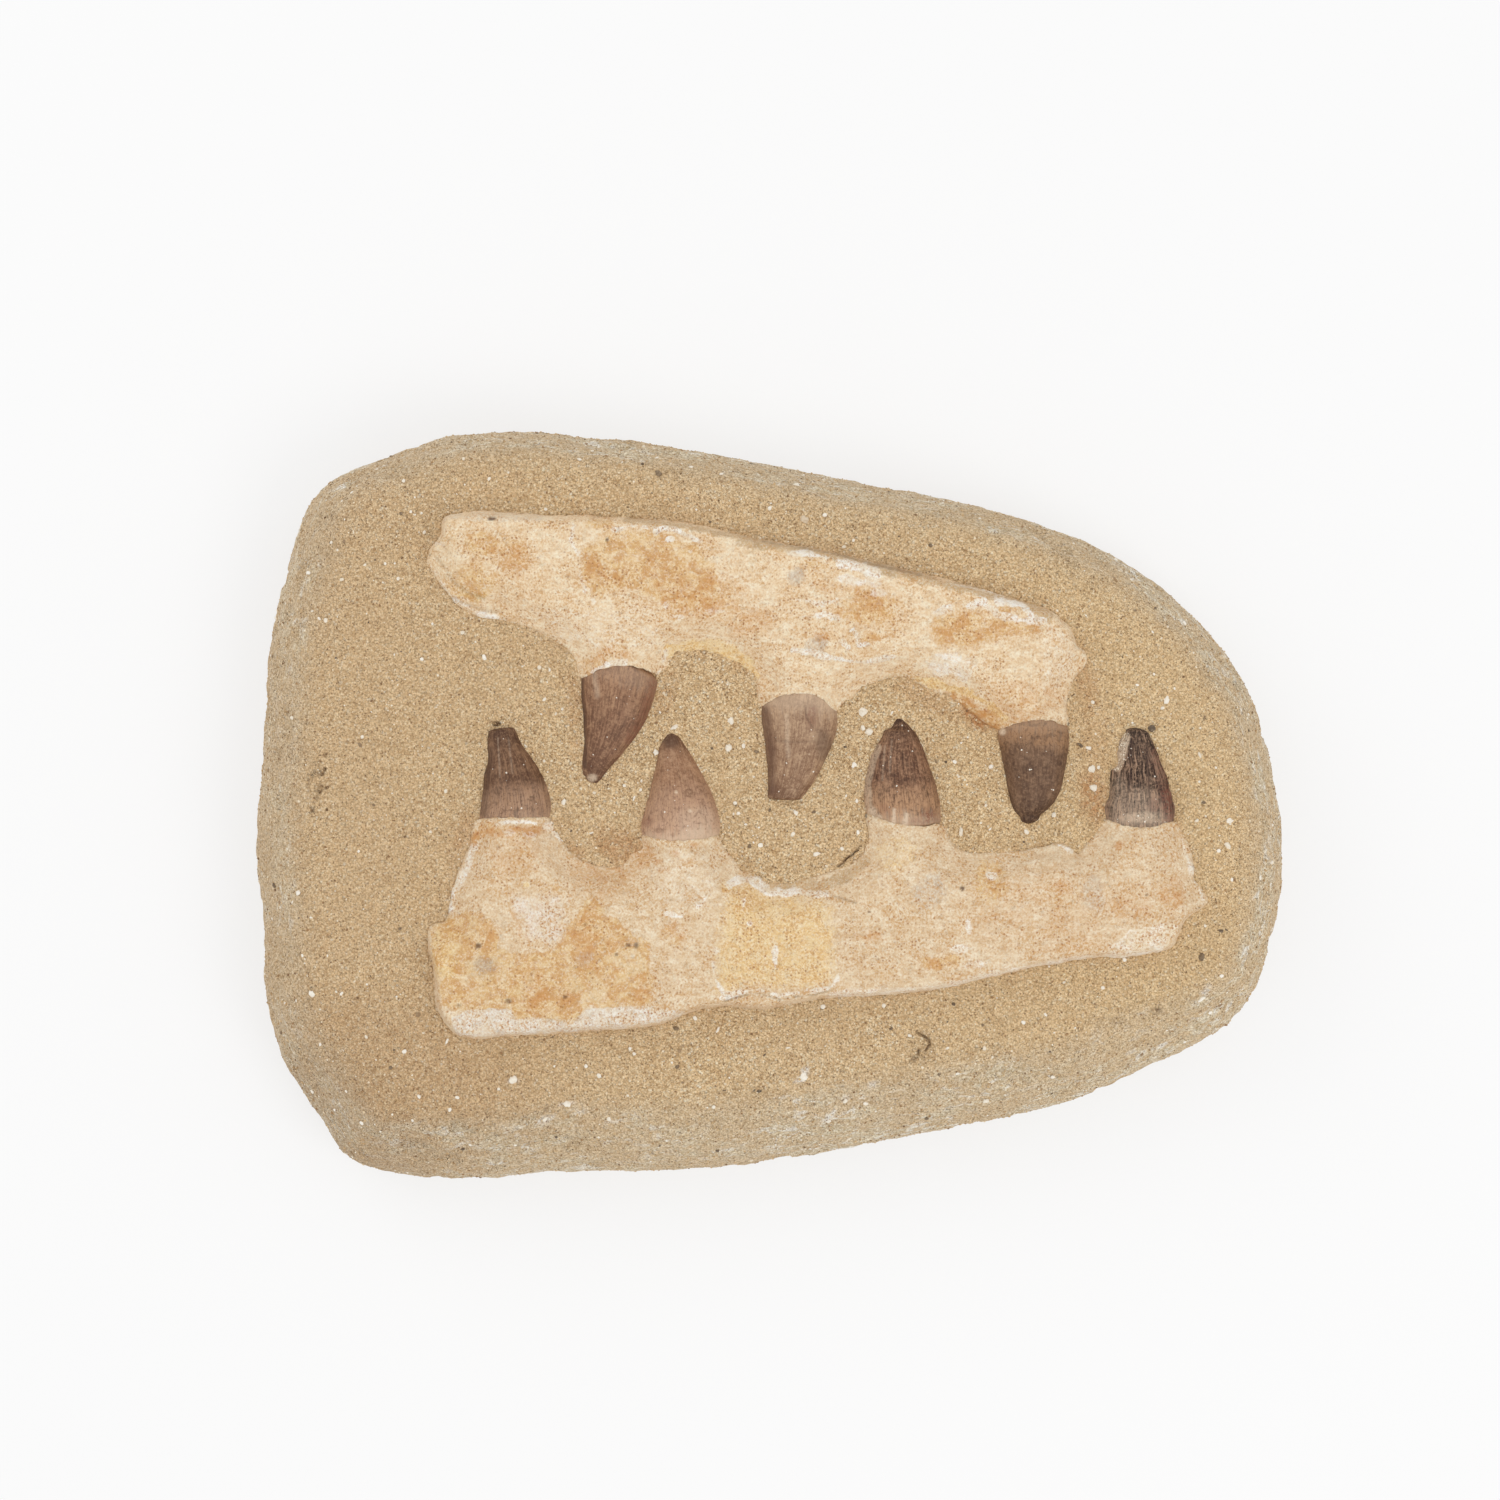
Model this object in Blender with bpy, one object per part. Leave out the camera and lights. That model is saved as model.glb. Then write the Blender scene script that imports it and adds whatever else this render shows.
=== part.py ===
"""Fossil mosasaur jaw: two pieces of jaw bone with seven teeth, bedded in a block of sandy matrix.

The block lies on its flat base. X runs along the jaws, Y from the lower jaw to the upper one,
and Z is up. The origin is at the middle of the block's bounding box, on the surface it lies on.
"""

import math

import bmesh
import bpy
from mathutils import Matrix, Vector, noise

MM = 0.001
GAP = 0.3  # clearance between bone or tooth and the matrix, in millimetres like all sizes below

# Block of matrix
MATRIX_TOP = 50.0  # height of the upper face at the middle of the block
WIDEST_AT = 18.0  # height at which the block is widest
FACE_FALL = 1.6  # how much lower the upper face is at its shoulder than in the middle
FACE_SWELL = 0.7  # slow rise and fall of the upper face
FLANK_SWELL = 1.3  # dents and bulges of the flanks
SHOULDER_EAST, SHOULDER_NORTH, SHOULDER_WEST, SHOULDER_SOUTH = 11.0, 8.0, 14.0, 20.0
BLOCK_STEP = 9.5  # spacing of the points round the block

# Jaw bones
BONE_BED = 14.0  # depth of the bone below the upper face of the matrix
BONE_CROWN = 9.5  # height of the middle of the bone above that face
BONE_EDGE = 2.2  # height of the bone's rim above that face
RIM_NORTH, RIM_SOUTH = 6.0, 9.0  # width over which the bone rounds down to its rim
BONE_LUMPS = 0.7
BONE_STEP = 4.4  # spacing of the points round a bone
BONE_GRID = 4.0  # spacing of the points over a bone
SLAB_SOLE = 20.0  # height of the sole of the slab that a bone's surface is cut from
WELD = 0.001  # points closer than this are one

# Teeth
BASE_SINK, TIP_SINK = 2.2, 0.8  # depth of a tooth's axis below the upper face of the matrix
TOOTH_DEPTH = 0.82  # thickness of a crown as a share of its width
TOOTH_ROOT = 6.0  # length of root sunk in the bone
TOOTH_SIDES = 18
TOOTH_STATIONS = 5

# Widest outline of the block, anticlockwise from the middle of the east end
BLOCK_OUTLINE = [
    (158, -23), (155, 10.5), (148, 34), (139.5, 47.5), (117.5, 69), (102, 78.5), (80.5, 87), (18.5, 101),
    (-52.5, 113), (-80, 115), (-101.5, 112.5), (-117, 107), (-134, 100), (-141, 93), (-147.5, 75.5),
    (-153.5, 51), (-155.5, 20), (-158, -14), (-155.5, -38.5), (-155, -60), (-150.5, -76), (-137.5, -97.5),
    (-129.5, -108.5), (-116.5, -113), (-92.5, -115), (-64.5, -113), (-27.5, -112.5), (43.5, -102),
    (80.5, -94.5), (99, -89), (117.5, -80), (133.5, -72.5), (148, -59.5), (153.5, -46.5),
]

# Height on the flank, share of the shoulder's inset there, and further inset towards the middle
FLANK = [
    (0.0, 0.0, 7.0),
    (3.0, 0.0, 3.6),
    (9.0, 0.0, 1.0),
    (WIDEST_AT, 0.0, 0.0),
    (27.0, 0.12, 0.0),
    (35.0, 0.36, 0.0),
    (41.5, 0.66, 0.0),
    (46.0, 1.0, 0.0),
    (48.2, 1.0, 5.0),
]
FACE_RINGS = (0.9, 0.72, 0.48, 0.2)  # rings of the upper face, as shares of its radius

# Broken back end, upper edge and broken front end of the upper jaw, then its gum line
UPPER_BACK = [(-78, 55.5), (-88.5, 57.5), (-96, 62.5), (-99.5, 67), (-103, 77.5), (-100, 81), (-98, 87)]
UPPER_EDGE = [
    (-92, 88.5), (-71, 88), (-43, 87), (-22, 85), (-8, 81.5), (12, 78), (32, 73.5), (53, 68.5), (74, 62.5),
]
UPPER_FRONT = [(86, 58), (92.5, 51), (95, 44), (91, 36), (89.5, 30)]
UPPER_ARCH_2_3 = [(64.5, 25.5), (60.5, 28.5), (57, 31.5), (49, 34.5), (40, 39), (32, 37), (25, 32.5)]
UPPER_STEP = [(-59.5, 45.5), (-67, 51)]

# The same for the lower jaw
LOWER_BACK = [(-91.5, -13.5), (-95.5, -24), (-98, -34), (-103, -37), (-101.5, -48), (-99.5, -63), (-95, -69)]
LOWER_EDGE = [
    (-91, -70), (-78, -69.5), (-47, -67.5), (-33, -66), (-22, -61.5), (0, -61), (14, -58.5), (46, -56),
    (72, -50.5), (95, -46),
]
LOWER_FRONT = [(115, -44.5), (122, -42), (125, -34.5), (132, -27.5), (130, -25), (126, -11)]
LOWER_DIP_3_4 = [(97.5, -9), (92, -13), (87, -11), (74, -12.5), (63.5, -14), (56, -12)]

# Each crown, seen from above: corners of its base, corners of its tip, outward bow of its left
# and right sides, length of the rounded tip beyond those corners (short where it broke off), and
# how far the line of its base arcs into the bone
UPPER_TEETH = [
    ((-57.0, 39.0), (-33.0, 40.0), (-57.0, 10.5), (-51.5, 7.5), -1.0, 2.8, 0.8, 3.0),
    ((-3.0, 30.5), (21.0, 29.0), (-1.0, 3.0), (9.5, 2.5), -0.5, 2.2, 0.5, 4.6),
    ((69.0, 23.0), (90.0, 24.5), (73.5, 0.0), (84.5, -0.5), 0.3, 1.8, 4.0, 2.2),
]
LOWER_TEETH = [
    ((-88.0, -4.0), (-66.0, -4.5), (-85.0, 22.5), (-76.5, 23.5), -0.4, 2.1, 0.6, -0.8),
    ((-40.0, -7.0), (-14.5, -9.5), (-33.0, 18.5), (-27.0, 20.3), 0.3, 2.4, 1.6, 2.2),
    ((28.5, -3.0), (51.7, -5.4), (36.0, 24.0), (42.0, 24.5), 1.9, 2.1, 2.4, 2.0),
    ((101.0, -4.5), (121.7, -4.8), (106.3, 21.2), (114.6, 22.0), 1.0, 1.4, 1.7, 2.0),
]


def clear_scene():
    for obj in list(bpy.data.objects):
        bpy.data.objects.remove(obj)


def new_collection(name):
    collection = bpy.data.collections.new(name)
    bpy.context.scene.collection.children.link(collection)
    return collection


def new_material(name, colour, roughness):
    material = bpy.data.materials.new(name)
    material.use_nodes = True
    shader = material.node_tree.nodes["Principled BSDF"]
    shader.inputs["Base Color"].default_value = (*colour, 1.0)
    shader.inputs["Roughness"].default_value = roughness
    shader.inputs["Metallic"].default_value = 0.0
    return material


def new_object(name, bm, collection, material=None):
    """An object from a bmesh in millimetres, with its mesh in metres and its faces pointing out.
    One with no material is a piece for a Boolean, shown as wires."""
    bmesh.ops.scale(bm, vec=(MM, MM, MM), verts=bm.verts)
    bmesh.ops.recalc_face_normals(bm, faces=bm.faces)
    mesh = bpy.data.meshes.new(name)
    bm.to_mesh(mesh)
    bm.free()
    obj = bpy.data.objects.new(name, mesh)
    if material:
        mesh.materials.append(material)
    else:
        obj.hide_render = True
        obj.display_type = "WIRE"
    collection.objects.link(obj)
    return obj


def loft(rings):
    """A bmesh grown from a first face by extruding it through each ring in turn, closed at both ends."""
    bm = bmesh.new()
    column = bm.verts.layers.int.new("column")
    first = [bm.verts.new(point) for point in rings[0]]
    for i, vert in enumerate(first):
        vert[column] = i
    end = bm.faces.new(first)
    for ring in rings[1:]:
        grown = bmesh.ops.extrude_face_region(bm, geom=[end, *end.edges])["geom"]
        end = next(item for item in grown if isinstance(item, bmesh.types.BMFace))
        for vert in end.verts:
            vert.co = ring[vert[column]]
    return bm


def smooth_loop(landmarks, step):
    """Points about a step apart on a smooth closed curve through the landmarks."""
    points = [Vector(p) for p in landmarks]
    count = len(points)

    def slope(i):
        before, here, after = points[i - 1], points[i], points[(i + 1) % count]
        back, ahead = (here - before).length, (after - here).length
        return ((after - here) * (back / ahead) + (here - before) * (ahead / back)) / (back + ahead)

    loop = []
    for i, start in enumerate(points):
        end = points[(i + 1) % count]
        length = (end - start).length
        pieces = max(1, round(length / step))
        for k in range(pieces):
            t = k / pieces
            loop.append(
                start * (2 * t**3 - 3 * t**2 + 1)
                + slope(i) * length * (t**3 - 2 * t**2 + t)
                + end * (3 * t**2 - 2 * t**3)
                + slope((i + 1) % count) * length * (t**3 - t**2)
            )
    return loop


def scallop(start, end, depth, fullness):
    """Landmarks along a rounded bay between two teeth, from start to end and depth mm to its left."""
    a, b = Vector(start), Vector(end)
    aside = Vector((a.y - b.y, b.x - a.x)).normalized()
    bay = []
    for t in (0.0, 0.12, 0.34, 0.66, 0.88, 1.0):
        rise = (1 - abs(2 * t - 1) ** fullness) ** (1 / fullness)
        bay.append(tuple(a.lerp(b, t) + aside * depth * rise))
    return bay


def base_arc(tooth):
    """Landmarks along the line where a crown leaves the bone, from its left corner to its right."""
    left, right, tip_left, tip_right = (Vector(p) for p in tooth[:4])
    into_bone = ((left + right) - (tip_left + tip_right)).normalized() * tooth[7]
    return [tuple(left.lerp(right, t) + into_bone * 4 * t * (1 - t)) for t in (0.0, 0.25, 0.5, 0.75, 1.0)]


def grown_loop(loop, distance):
    """The loop moved outwards by a distance; it runs anticlockwise."""
    moved = []
    for i, point in enumerate(loop):
        along = loop[(i + 1) % len(loop)] - loop[i - 1]
        moved.append(point + Vector((along.y, -along.x)).normalized() * distance)
    return moved


def swell(x, y, z, wavelength):
    """Slow seeded noise from -1 to 1 at a point in millimetres."""
    return noise.noise(Vector((x, y, z)) / wavelength)


def shoulder_inset(normal):
    """How far the upper face's edge lies inside the widest outline, on the side that a normal faces."""
    sides = (
        (SHOULDER_EAST, max(normal.x, 0)), (SHOULDER_WEST, max(-normal.x, 0)),
        (SHOULDER_NORTH, max(normal.y, 0)), (SHOULDER_SOUTH, max(-normal.y, 0)),
    )
    return sum(inset * share**2 for inset, share in sides)


def face_height(x, y, share):
    """Height of the upper face at a share of the way from its middle to its shoulder."""
    return MATRIX_TOP - FACE_FALL * share**2 + FACE_SWELL * swell(x, y, 0, 45)


def block_rings():
    """Rings of the block from its base up the flank and in over the upper face."""
    loop = smooth_loop(BLOCK_OUTLINE, BLOCK_STEP)
    low = Vector((min(p.x for p in loop), min(p.y for p in loop)))
    high = Vector((max(p.x for p in loop), max(p.y for p in loop)))
    loop = [p - (low + high) / 2 for p in loop]
    columns = []
    for point, moved in zip(loop, grown_loop(loop, 1.0)):
        normal = moved - point
        radial = point.normalized()
        inwards = -radial / normal.dot(radial)
        columns.append((point, inwards, shoulder_inset(normal)))
    rings = []
    for height, share, more in FLANK:
        ring = []
        for point, inwards, inset in columns:
            dent = FLANK_SWELL * max(0.0, swell(point.x, point.y, 1.4 * height, 24))
            if height in (0.0, WIDEST_AT):
                dent = 0.0
            place = point + inwards * (inset * share + more + dent)
            ring.append(Vector((place.x, place.y, height)))
        rings.append(ring)
    shoulder = rings[-1]
    for share in FACE_RINGS:
        ring = []
        for point in shoulder:
            x, y = point.x * share, point.y * share
            ring.append(Vector((x, y, face_height(x, y, share))))
        rings.append(ring)
    return rings


def upper_outline():
    tooth_1, tooth_2, tooth_3 = UPPER_TEETH
    gum_line = (
        base_arc(tooth_3)[::-1]
        + UPPER_ARCH_2_3
        + base_arc(tooth_2)[:0:-1]
        + scallop(tooth_1[1], tooth_2[0], 10.5, 2.5)[::-1]
        + base_arc(tooth_1)[-2::-1]
        + UPPER_STEP
    )
    return smooth_loop((gum_line + UPPER_BACK + UPPER_EDGE + UPPER_FRONT)[::-1], BONE_STEP)


def lower_outline():
    tooth_1, tooth_2, tooth_3, tooth_4 = LOWER_TEETH
    gum_line = (
        base_arc(tooth_4)[::-1]
        + LOWER_DIP_3_4
        + base_arc(tooth_3)[:0:-1]
        + scallop(tooth_3[0], tooth_2[1], 15.5, 2.5)
        + base_arc(tooth_2)[-2:0:-1]
        + scallop(tooth_2[0], tooth_1[1], 10.5, 1.8)
        + base_arc(tooth_1)[-2::-1]
    )
    return smooth_loop(gum_line + LOWER_BACK + LOWER_EDGE + LOWER_FRONT, BONE_STEP)


def distance_to_segment(point, a, b):
    along = b - a
    share = max(0.0, min(1.0, (point - a).dot(along) / along.length_squared))
    return (point - (a + along * share)).length


def is_inside(point, loop):
    crossed = False
    for i, b in enumerate(loop):
        a = loop[i - 1]
        if (a.y > point.y) != (b.y > point.y):
            if point.x < a.x + (b.x - a.x) * (point.y - a.y) / (b.y - a.y):
                crossed = not crossed
    return crossed


def is_at_crown(point, tooth):
    """Whether a point of the outline lies where a crown leaves the bone."""
    left, right = Vector(tooth[0]), Vector(tooth[1])
    along = right - left
    share = (point - left).dot(along) / along.length_squared
    return 0 < share < 1 and (point - left.lerp(right, share)).length < abs(tooth[7]) + 1.0


def rim_segments(outline, teeth):
    """The outline's segments, each with its outward normal and whether a crown grows from it."""
    segments = []
    for i, b in enumerate(outline):
        a = outline[i - 1]
        middle = (a + b) / 2
        at_crown = any(is_at_crown(middle, tooth) for tooth in teeth)
        segments.append((a, b, Vector((b.y - a.y, a.x - b.x)).normalized(), at_crown))
    return segments


def bone_height(point, outline, segments):
    """Height of the bone's surface: full in the middle, rounded down to the rim, and falling on
    beyond it, so that the surface meets the wall of the bone at an even height."""
    nearest = sorted((distance_to_segment(point, a, b), n.y, at_crown) for a, b, n, at_crown in segments)
    distance, facing, _ = next(item for item in nearest if not item[2])
    beyond_rim = not nearest[0][2] and not is_inside(point, outline)
    share = distance / (RIM_NORTH if facing > 0 else RIM_SOUTH)
    if beyond_rim:
        rise = max(-2 * share, -3.0)
    else:
        rise = 1 - (1 - min(1.0, share)) ** 2
    lumps = BONE_LUMPS * swell(point.x, point.y, 5, 18)
    return MATRIX_TOP + BONE_EDGE + (BONE_CROWN - BONE_EDGE) * rise + lumps


def bone_slab(name, outline, teeth, cutters):
    """A slab wider than the bone, whose upper side is the bone's surface."""
    low = Vector((min(p.x for p in outline), min(p.y for p in outline)))
    high = Vector((max(p.x for p in outline), max(p.y for p in outline)))
    middle, half = (low + high) / 2, (high - low) / 2 + Vector((BONE_GRID, BONE_GRID))
    segments = rim_segments(outline, teeth)
    bm = bmesh.new()
    bmesh.ops.create_grid(
        bm,
        x_segments=round(2 * half.x / BONE_GRID),
        y_segments=round(2 * half.y / BONE_GRID),
        size=1.0,
        matrix=Matrix.Translation((middle.x, middle.y, 0)) @ Matrix.Diagonal((half.x, half.y, 1, 1)),
    )
    top = bm.verts[:]
    sole = bmesh.ops.extrude_face_region(bm, geom=bm.faces[:])["geom"]
    for vert in top:
        vert.co.z = bone_height(vert.co.xy, outline, segments)
    for vert in (item for item in sole if isinstance(item, bmesh.types.BMVert)):
        vert.co.z = SLAB_SOLE
    flat = [edge for edge in bm.edges if all(vert.co.z == SLAB_SOLE for vert in edge.verts)]
    flat_verts = list({vert for edge in flat for vert in edge.verts})
    bmesh.ops.dissolve_limit(bm, angle_limit=0.01, verts=flat_verts, edges=flat)
    return new_object(name, bm, cutters)


def prism(name, outline, bottom, top, collection, material=None):
    """The outline as a flat filled curve, extruded from bottom to top and made a mesh."""
    curve = bpy.data.curves.new(name, "CURVE")
    curve.dimensions = "2D"
    curve.fill_mode = "BOTH"
    curve.extrude = (top - bottom) / 2
    spline = curve.splines.new("POLY")
    spline.points.add(len(outline) - 1)
    for point, place in zip(spline.points, outline):
        point.co = (place.x, place.y, 0.0, 1.0)
    spline.use_cyclic_u = True
    guide = bpy.data.objects.new(name, curve)
    collection.objects.link(guide)
    graph = bpy.context.evaluated_depsgraph_get()
    filled = bpy.data.meshes.new_from_object(guide.evaluated_get(graph))
    bpy.data.objects.remove(guide)
    bm = bmesh.new()
    bm.from_mesh(filled)
    bmesh.ops.remove_doubles(bm, verts=bm.verts, dist=WELD)
    bmesh.ops.translate(bm, vec=(0, 0, (bottom + top) / 2), verts=bm.verts)
    return new_object(name, bm, collection, material)


def crown_rings(tooth, grow):
    """Rings along a tooth from its sunk root to its tip, grown on every side. A ring is an ellipse
    whose axis lies under the face of the matrix, and whose width there is the width seen."""
    base_left, base_right, tip_left, tip_right = (Vector(p) for p in tooth[:4])
    bow_left, bow_right, cap, arc = tooth[4:]
    across = (base_right - base_left + tip_right - tip_left).normalized()
    axis = ((tip_left + tip_right) - (base_left + base_right)).normalized()

    def ring(left, right, sink, pinch=1.0, forward=0.0):
        middle = (left + right) / 2 + axis * forward
        half = math.hypot((right - left).length / 2, sink / TOOTH_DEPTH) * pinch
        turn = (right - left).normalized()
        points = []
        for k in range(TOOTH_SIDES):
            angle = 2 * math.pi * k / TOOTH_SIDES
            flat = middle + turn * (half + grow) * math.cos(angle)
            rise = (half * TOOTH_DEPTH + grow) * math.sin(angle)
            points.append(Vector((flat.x, flat.y, MATRIX_TOP - sink + rise)))
        return points

    rings = []
    for back, pinch in ((TOOTH_ROOT, 0.85), (1.0, 1.0)):
        rings.append(ring(base_left, base_right, BASE_SINK, pinch, -max(0.0, arc) - back))
    for k in range(TOOTH_STATIONS + 1):
        t = k / TOOTH_STATIONS
        bulge = 4 * t * (1 - t)
        left = base_left.lerp(tip_left, t) - across * bow_left * bulge
        right = base_right.lerp(tip_right, t) + across * bow_right * bulge
        rings.append(ring(left, right, BASE_SINK + (TIP_SINK - BASE_SINK) * t))
    for share in (0.5, 0.82, 0.97):
        rings.append(ring(tip_left, tip_right, TIP_SINK, math.sqrt(1 - share**2), (cap + grow) * share))
    return rings


def keep_largest_surface(obj):
    """Drops every closed surface of an object but its largest."""
    bm = bmesh.new()
    bm.from_mesh(obj.data)
    unseen = set(bm.faces)
    surfaces = []
    while unseen:
        surface = [unseen.pop()]
        for face in surface:
            for edge in face.edges:
                for other in edge.link_faces:
                    if other in unseen:
                        unseen.remove(other)
                        surface.append(other)
        surfaces.append(surface)
    surfaces.sort(key=lambda faces: sum(face.calc_area() for face in faces))
    for surface in surfaces[:-1]:
        bmesh.ops.delete(bm, geom=surface, context="FACES")
    bm.to_mesh(obj.data)
    bm.free()


def apply_boolean(obj, cutters, operation):
    """Cuts obj by, or joins it to, every object of a collection, which is then emptied."""
    modifier = obj.modifiers.new(operation.title(), "BOOLEAN")
    modifier.operation = operation
    modifier.operand_type = "COLLECTION"
    modifier.collection = cutters
    graph = bpy.context.evaluated_depsgraph_get()
    mesh = bpy.data.meshes.new_from_object(obj.evaluated_get(graph))
    obj.modifiers.remove(modifier)
    obj.data = mesh
    for cutter in list(cutters.objects):
        bpy.data.objects.remove(cutter)
    keep_largest_surface(obj)


def jaw(name, outline, teeth, collection, cutters, material):
    """A piece of jaw bone with its teeth, as one closed body."""
    bottom = MATRIX_TOP - BONE_BED
    bone = prism(name, outline, bottom, MATRIX_TOP + 2 * BONE_CROWN, collection, material)
    bone_slab(f"{name}_surface", outline, teeth, cutters)
    apply_boolean(bone, cutters, "INTERSECT")
    for i, tooth in enumerate(teeth, start=1):
        new_object(f"{name}_tooth_{i}", loft(crown_rings(tooth, 0.0)), cutters)
    apply_boolean(bone, cutters, "UNION")
    return bone


def add_pocket(name, outline, teeth, cutters):
    """The space that a jaw takes up in the matrix, with the clearance round it."""
    bottom = MATRIX_TOP - BONE_BED - GAP
    prism(f"{name}_bed", grown_loop(outline, GAP), bottom, MATRIX_TOP + 2 * BONE_CROWN, cutters)
    for i, tooth in enumerate(teeth, start=1):
        new_object(f"{name}_socket_{i}", loft(crown_rings(tooth, GAP)), cutters)


def main():
    clear_scene()
    fossil = new_collection("fossil_mosasaur_jaw")
    cutters = new_collection("cutters")
    upper = upper_outline()
    lower = lower_outline()
    upper_bone = new_material("upper_bone", (0.74, 0.58, 0.39), 0.85)
    lower_bone = new_material("lower_bone", (0.70, 0.53, 0.34), 0.85)
    jaw("upper_jaw", upper, UPPER_TEETH, fossil, cutters, upper_bone)
    jaw("lower_jaw", lower, LOWER_TEETH, fossil, cutters, lower_bone)

    sand = new_material("sandy_matrix", (0.55, 0.42, 0.27), 0.95)
    block = new_object("matrix_block", loft(block_rings()), fossil, sand)
    add_pocket("upper_jaw", upper, UPPER_TEETH, cutters)
    add_pocket("lower_jaw", lower, LOWER_TEETH, cutters)
    apply_boolean(block, cutters, "DIFFERENCE")
    bpy.data.collections.remove(cutters)


main()
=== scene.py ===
"""Looks of the fossil mosasaur jaw: the sand block, two pieces of jaw bone and their seven crowns.

Lengths are in millimetres until a mesh is finished. X runs along the jaws, Y from the lower jaw to
the upper one and Z up, and the outlines repeat those of the solids.
"""
import math

import bmesh
import bpy
import numpy as np
from mathutils import Matrix, Vector, noise
from mathutils.kdtree import KDTree


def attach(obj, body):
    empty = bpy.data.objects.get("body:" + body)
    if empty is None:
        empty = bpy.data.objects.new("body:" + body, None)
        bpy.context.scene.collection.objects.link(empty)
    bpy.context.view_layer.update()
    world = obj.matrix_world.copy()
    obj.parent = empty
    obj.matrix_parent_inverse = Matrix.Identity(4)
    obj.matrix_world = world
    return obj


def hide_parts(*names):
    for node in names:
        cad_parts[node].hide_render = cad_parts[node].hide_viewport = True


MM = 0.001

# Block of matrix, as in the solids
MATRIX_TOP = 50.0
FACE_FALL = 1.6  # how much lower the upper face is at its shoulder than in the middle
FACE_SWELL = 0.7
FLANK_SWELL = 1.3
WIDEST_AT = 18.0
SHOULDER_EAST, SHOULDER_NORTH, SHOULDER_WEST, SHOULDER_SOUTH = 11.0, 8.0, 14.0, 20.0
SHOULDER_HEIGHT = 48.2
BLOCK_OUTLINE = [
    (158, -23), (155, 10.5), (148, 34), (139.5, 47.5), (117.5, 69), (102, 78.5), (80.5, 87), (18.5, 101),
    (-52.5, 113), (-80, 115), (-101.5, 112.5), (-117, 107), (-134, 100), (-141, 93), (-147.5, 75.5),
    (-153.5, 51), (-155.5, 20), (-158, -14), (-155.5, -38.5), (-155, -60), (-150.5, -76), (-137.5, -97.5),
    (-129.5, -108.5), (-116.5, -113), (-92.5, -115), (-64.5, -113), (-27.5, -112.5), (43.5, -102),
    (80.5, -94.5), (99, -89), (117.5, -80), (133.5, -72.5), (148, -59.5), (153.5, -46.5),
]
# Height on the flank, share of the shoulder's inset there, and further inset towards the middle
FLANK = [
    (SHOULDER_HEIGHT, 1.0, 5.0), (46.0, 1.0, 0.0), (41.5, 0.66, 0.0), (35.0, 0.36, 0.0), (27.0, 0.12, 0.0),
    (WIDEST_AT, 0.0, 0.0), (9.0, 0.0, 1.0), (3.0, 0.0, 3.6), (0.0, 0.0, 7.0),
]
SAND_CELL = 1.15  # spacing of the points over the sand
FLANK_CELL = 1.25
FLANK_LENGTH = 62  # from the shoulder down to the underside, along the flank
BED_DEPTH = 7.5  # depth of the bed that a bone or crown lies in
BONE_LIP, CROWN_LIP = 1.5, 2.5  # how far under a bone or crown the sand's face reaches

# Jaw bones, as in the solids
BONE_CROWN = 8.6  # height of the middle of the bone above the sand
BONE_EDGE = 0.6  # height of the bone's rim above the sand
BONE_LUMPS = 0.7
BONE_CELL = 0.46
BONE_SOLE = 6.0  # depth of the underside of a dressed bone below the sand
UPPER_RIM = (12.0, 2.4)  # width of the slope down to the rim, on the side of the crowns and on the other
LOWER_RIM = (12.0, 2.2)
UPPER_BACK = [(-78, 55.5), (-88.5, 57.5), (-96, 62.5), (-99.5, 67), (-103, 77.5), (-100, 81), (-98, 87)]
UPPER_EDGE = [
    (-92, 88.5), (-71, 88), (-43, 87), (-22, 85), (-8, 81.5), (12, 78), (32, 73.5), (53, 68.5), (74, 62.5),
]
UPPER_FRONT = [(86, 58), (92.5, 51), (95, 44), (91, 36), (89.5, 30)]
UPPER_ARCH_2_3 = [(64.5, 25.5), (60.5, 28.5), (57, 31.5), (49, 34.5), (40, 39), (32, 37), (25, 32.5)]
UPPER_STEP = [(-59.5, 45.5), (-67, 51)]
LOWER_BACK = [(-91.5, -13.5), (-95.5, -24), (-98, -34), (-103, -37), (-101.5, -48), (-99.5, -63), (-95, -69)]
LOWER_EDGE = [
    (-91, -70), (-78, -69.5), (-47, -67.5), (-33, -66), (-22, -61.5), (0, -61), (14, -58.5), (46, -56),
    (72, -50.5), (95, -46),
]
LOWER_FRONT = [(115, -44.5), (122, -42), (125, -34.5), (132, -27.5), (130, -25), (126, -11)]
LOWER_DIP_3_4 = [(97.5, -9.5), (93, -13.5), (87.5, -11), (82, -12.5), (70, -13.6), (60, -14), (55, -11)]
LOWER_BAY_2_3 = [
    (29.2, -6.5), (28.8, -10.5), (27.2, -14.2), (23.7, -17.8), (17.2, -19.8), (9.1, -22), (0.2, -22.9),
    (-4.2, -20.8), (-8.8, -18.8), (-12, -15), (-14.2, -12),
]
LOWER_BAY_1_2 = [
    (-38.8, -12), (-42, -14), (-43.4, -17.2), (-48.9, -18.3), (-53.2, -17.6), (-57.8, -16), (-61.3, -12.6),
    (-63.2, -9.6), (-64.8, -6.8),
]

OUTLINE_STEP = 0.35  # spacing of the points along a bone's outline
# Height, wavelength and seed of the ripples that break a rim, and of those that carry it over a crown
RIM_BREAKS = ((0.5, 7, 3), (0.35, 2.6, 5), (0.2, 1.2, 7))
RIM_OVERLAP = ((0.8, 2.4, 9), (0.4, 1.1, 13))
BREAK_DEPTH = 0.8
CHIPPED_DEPTH = 1.6
UPPER_CHIPPED = ((-100, 72, 12), (94, 46, 8))  # place and size of each end that is chipped more
LOWER_CHIPPED = ((128, -26, 9), (-101, -40, 8))

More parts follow.
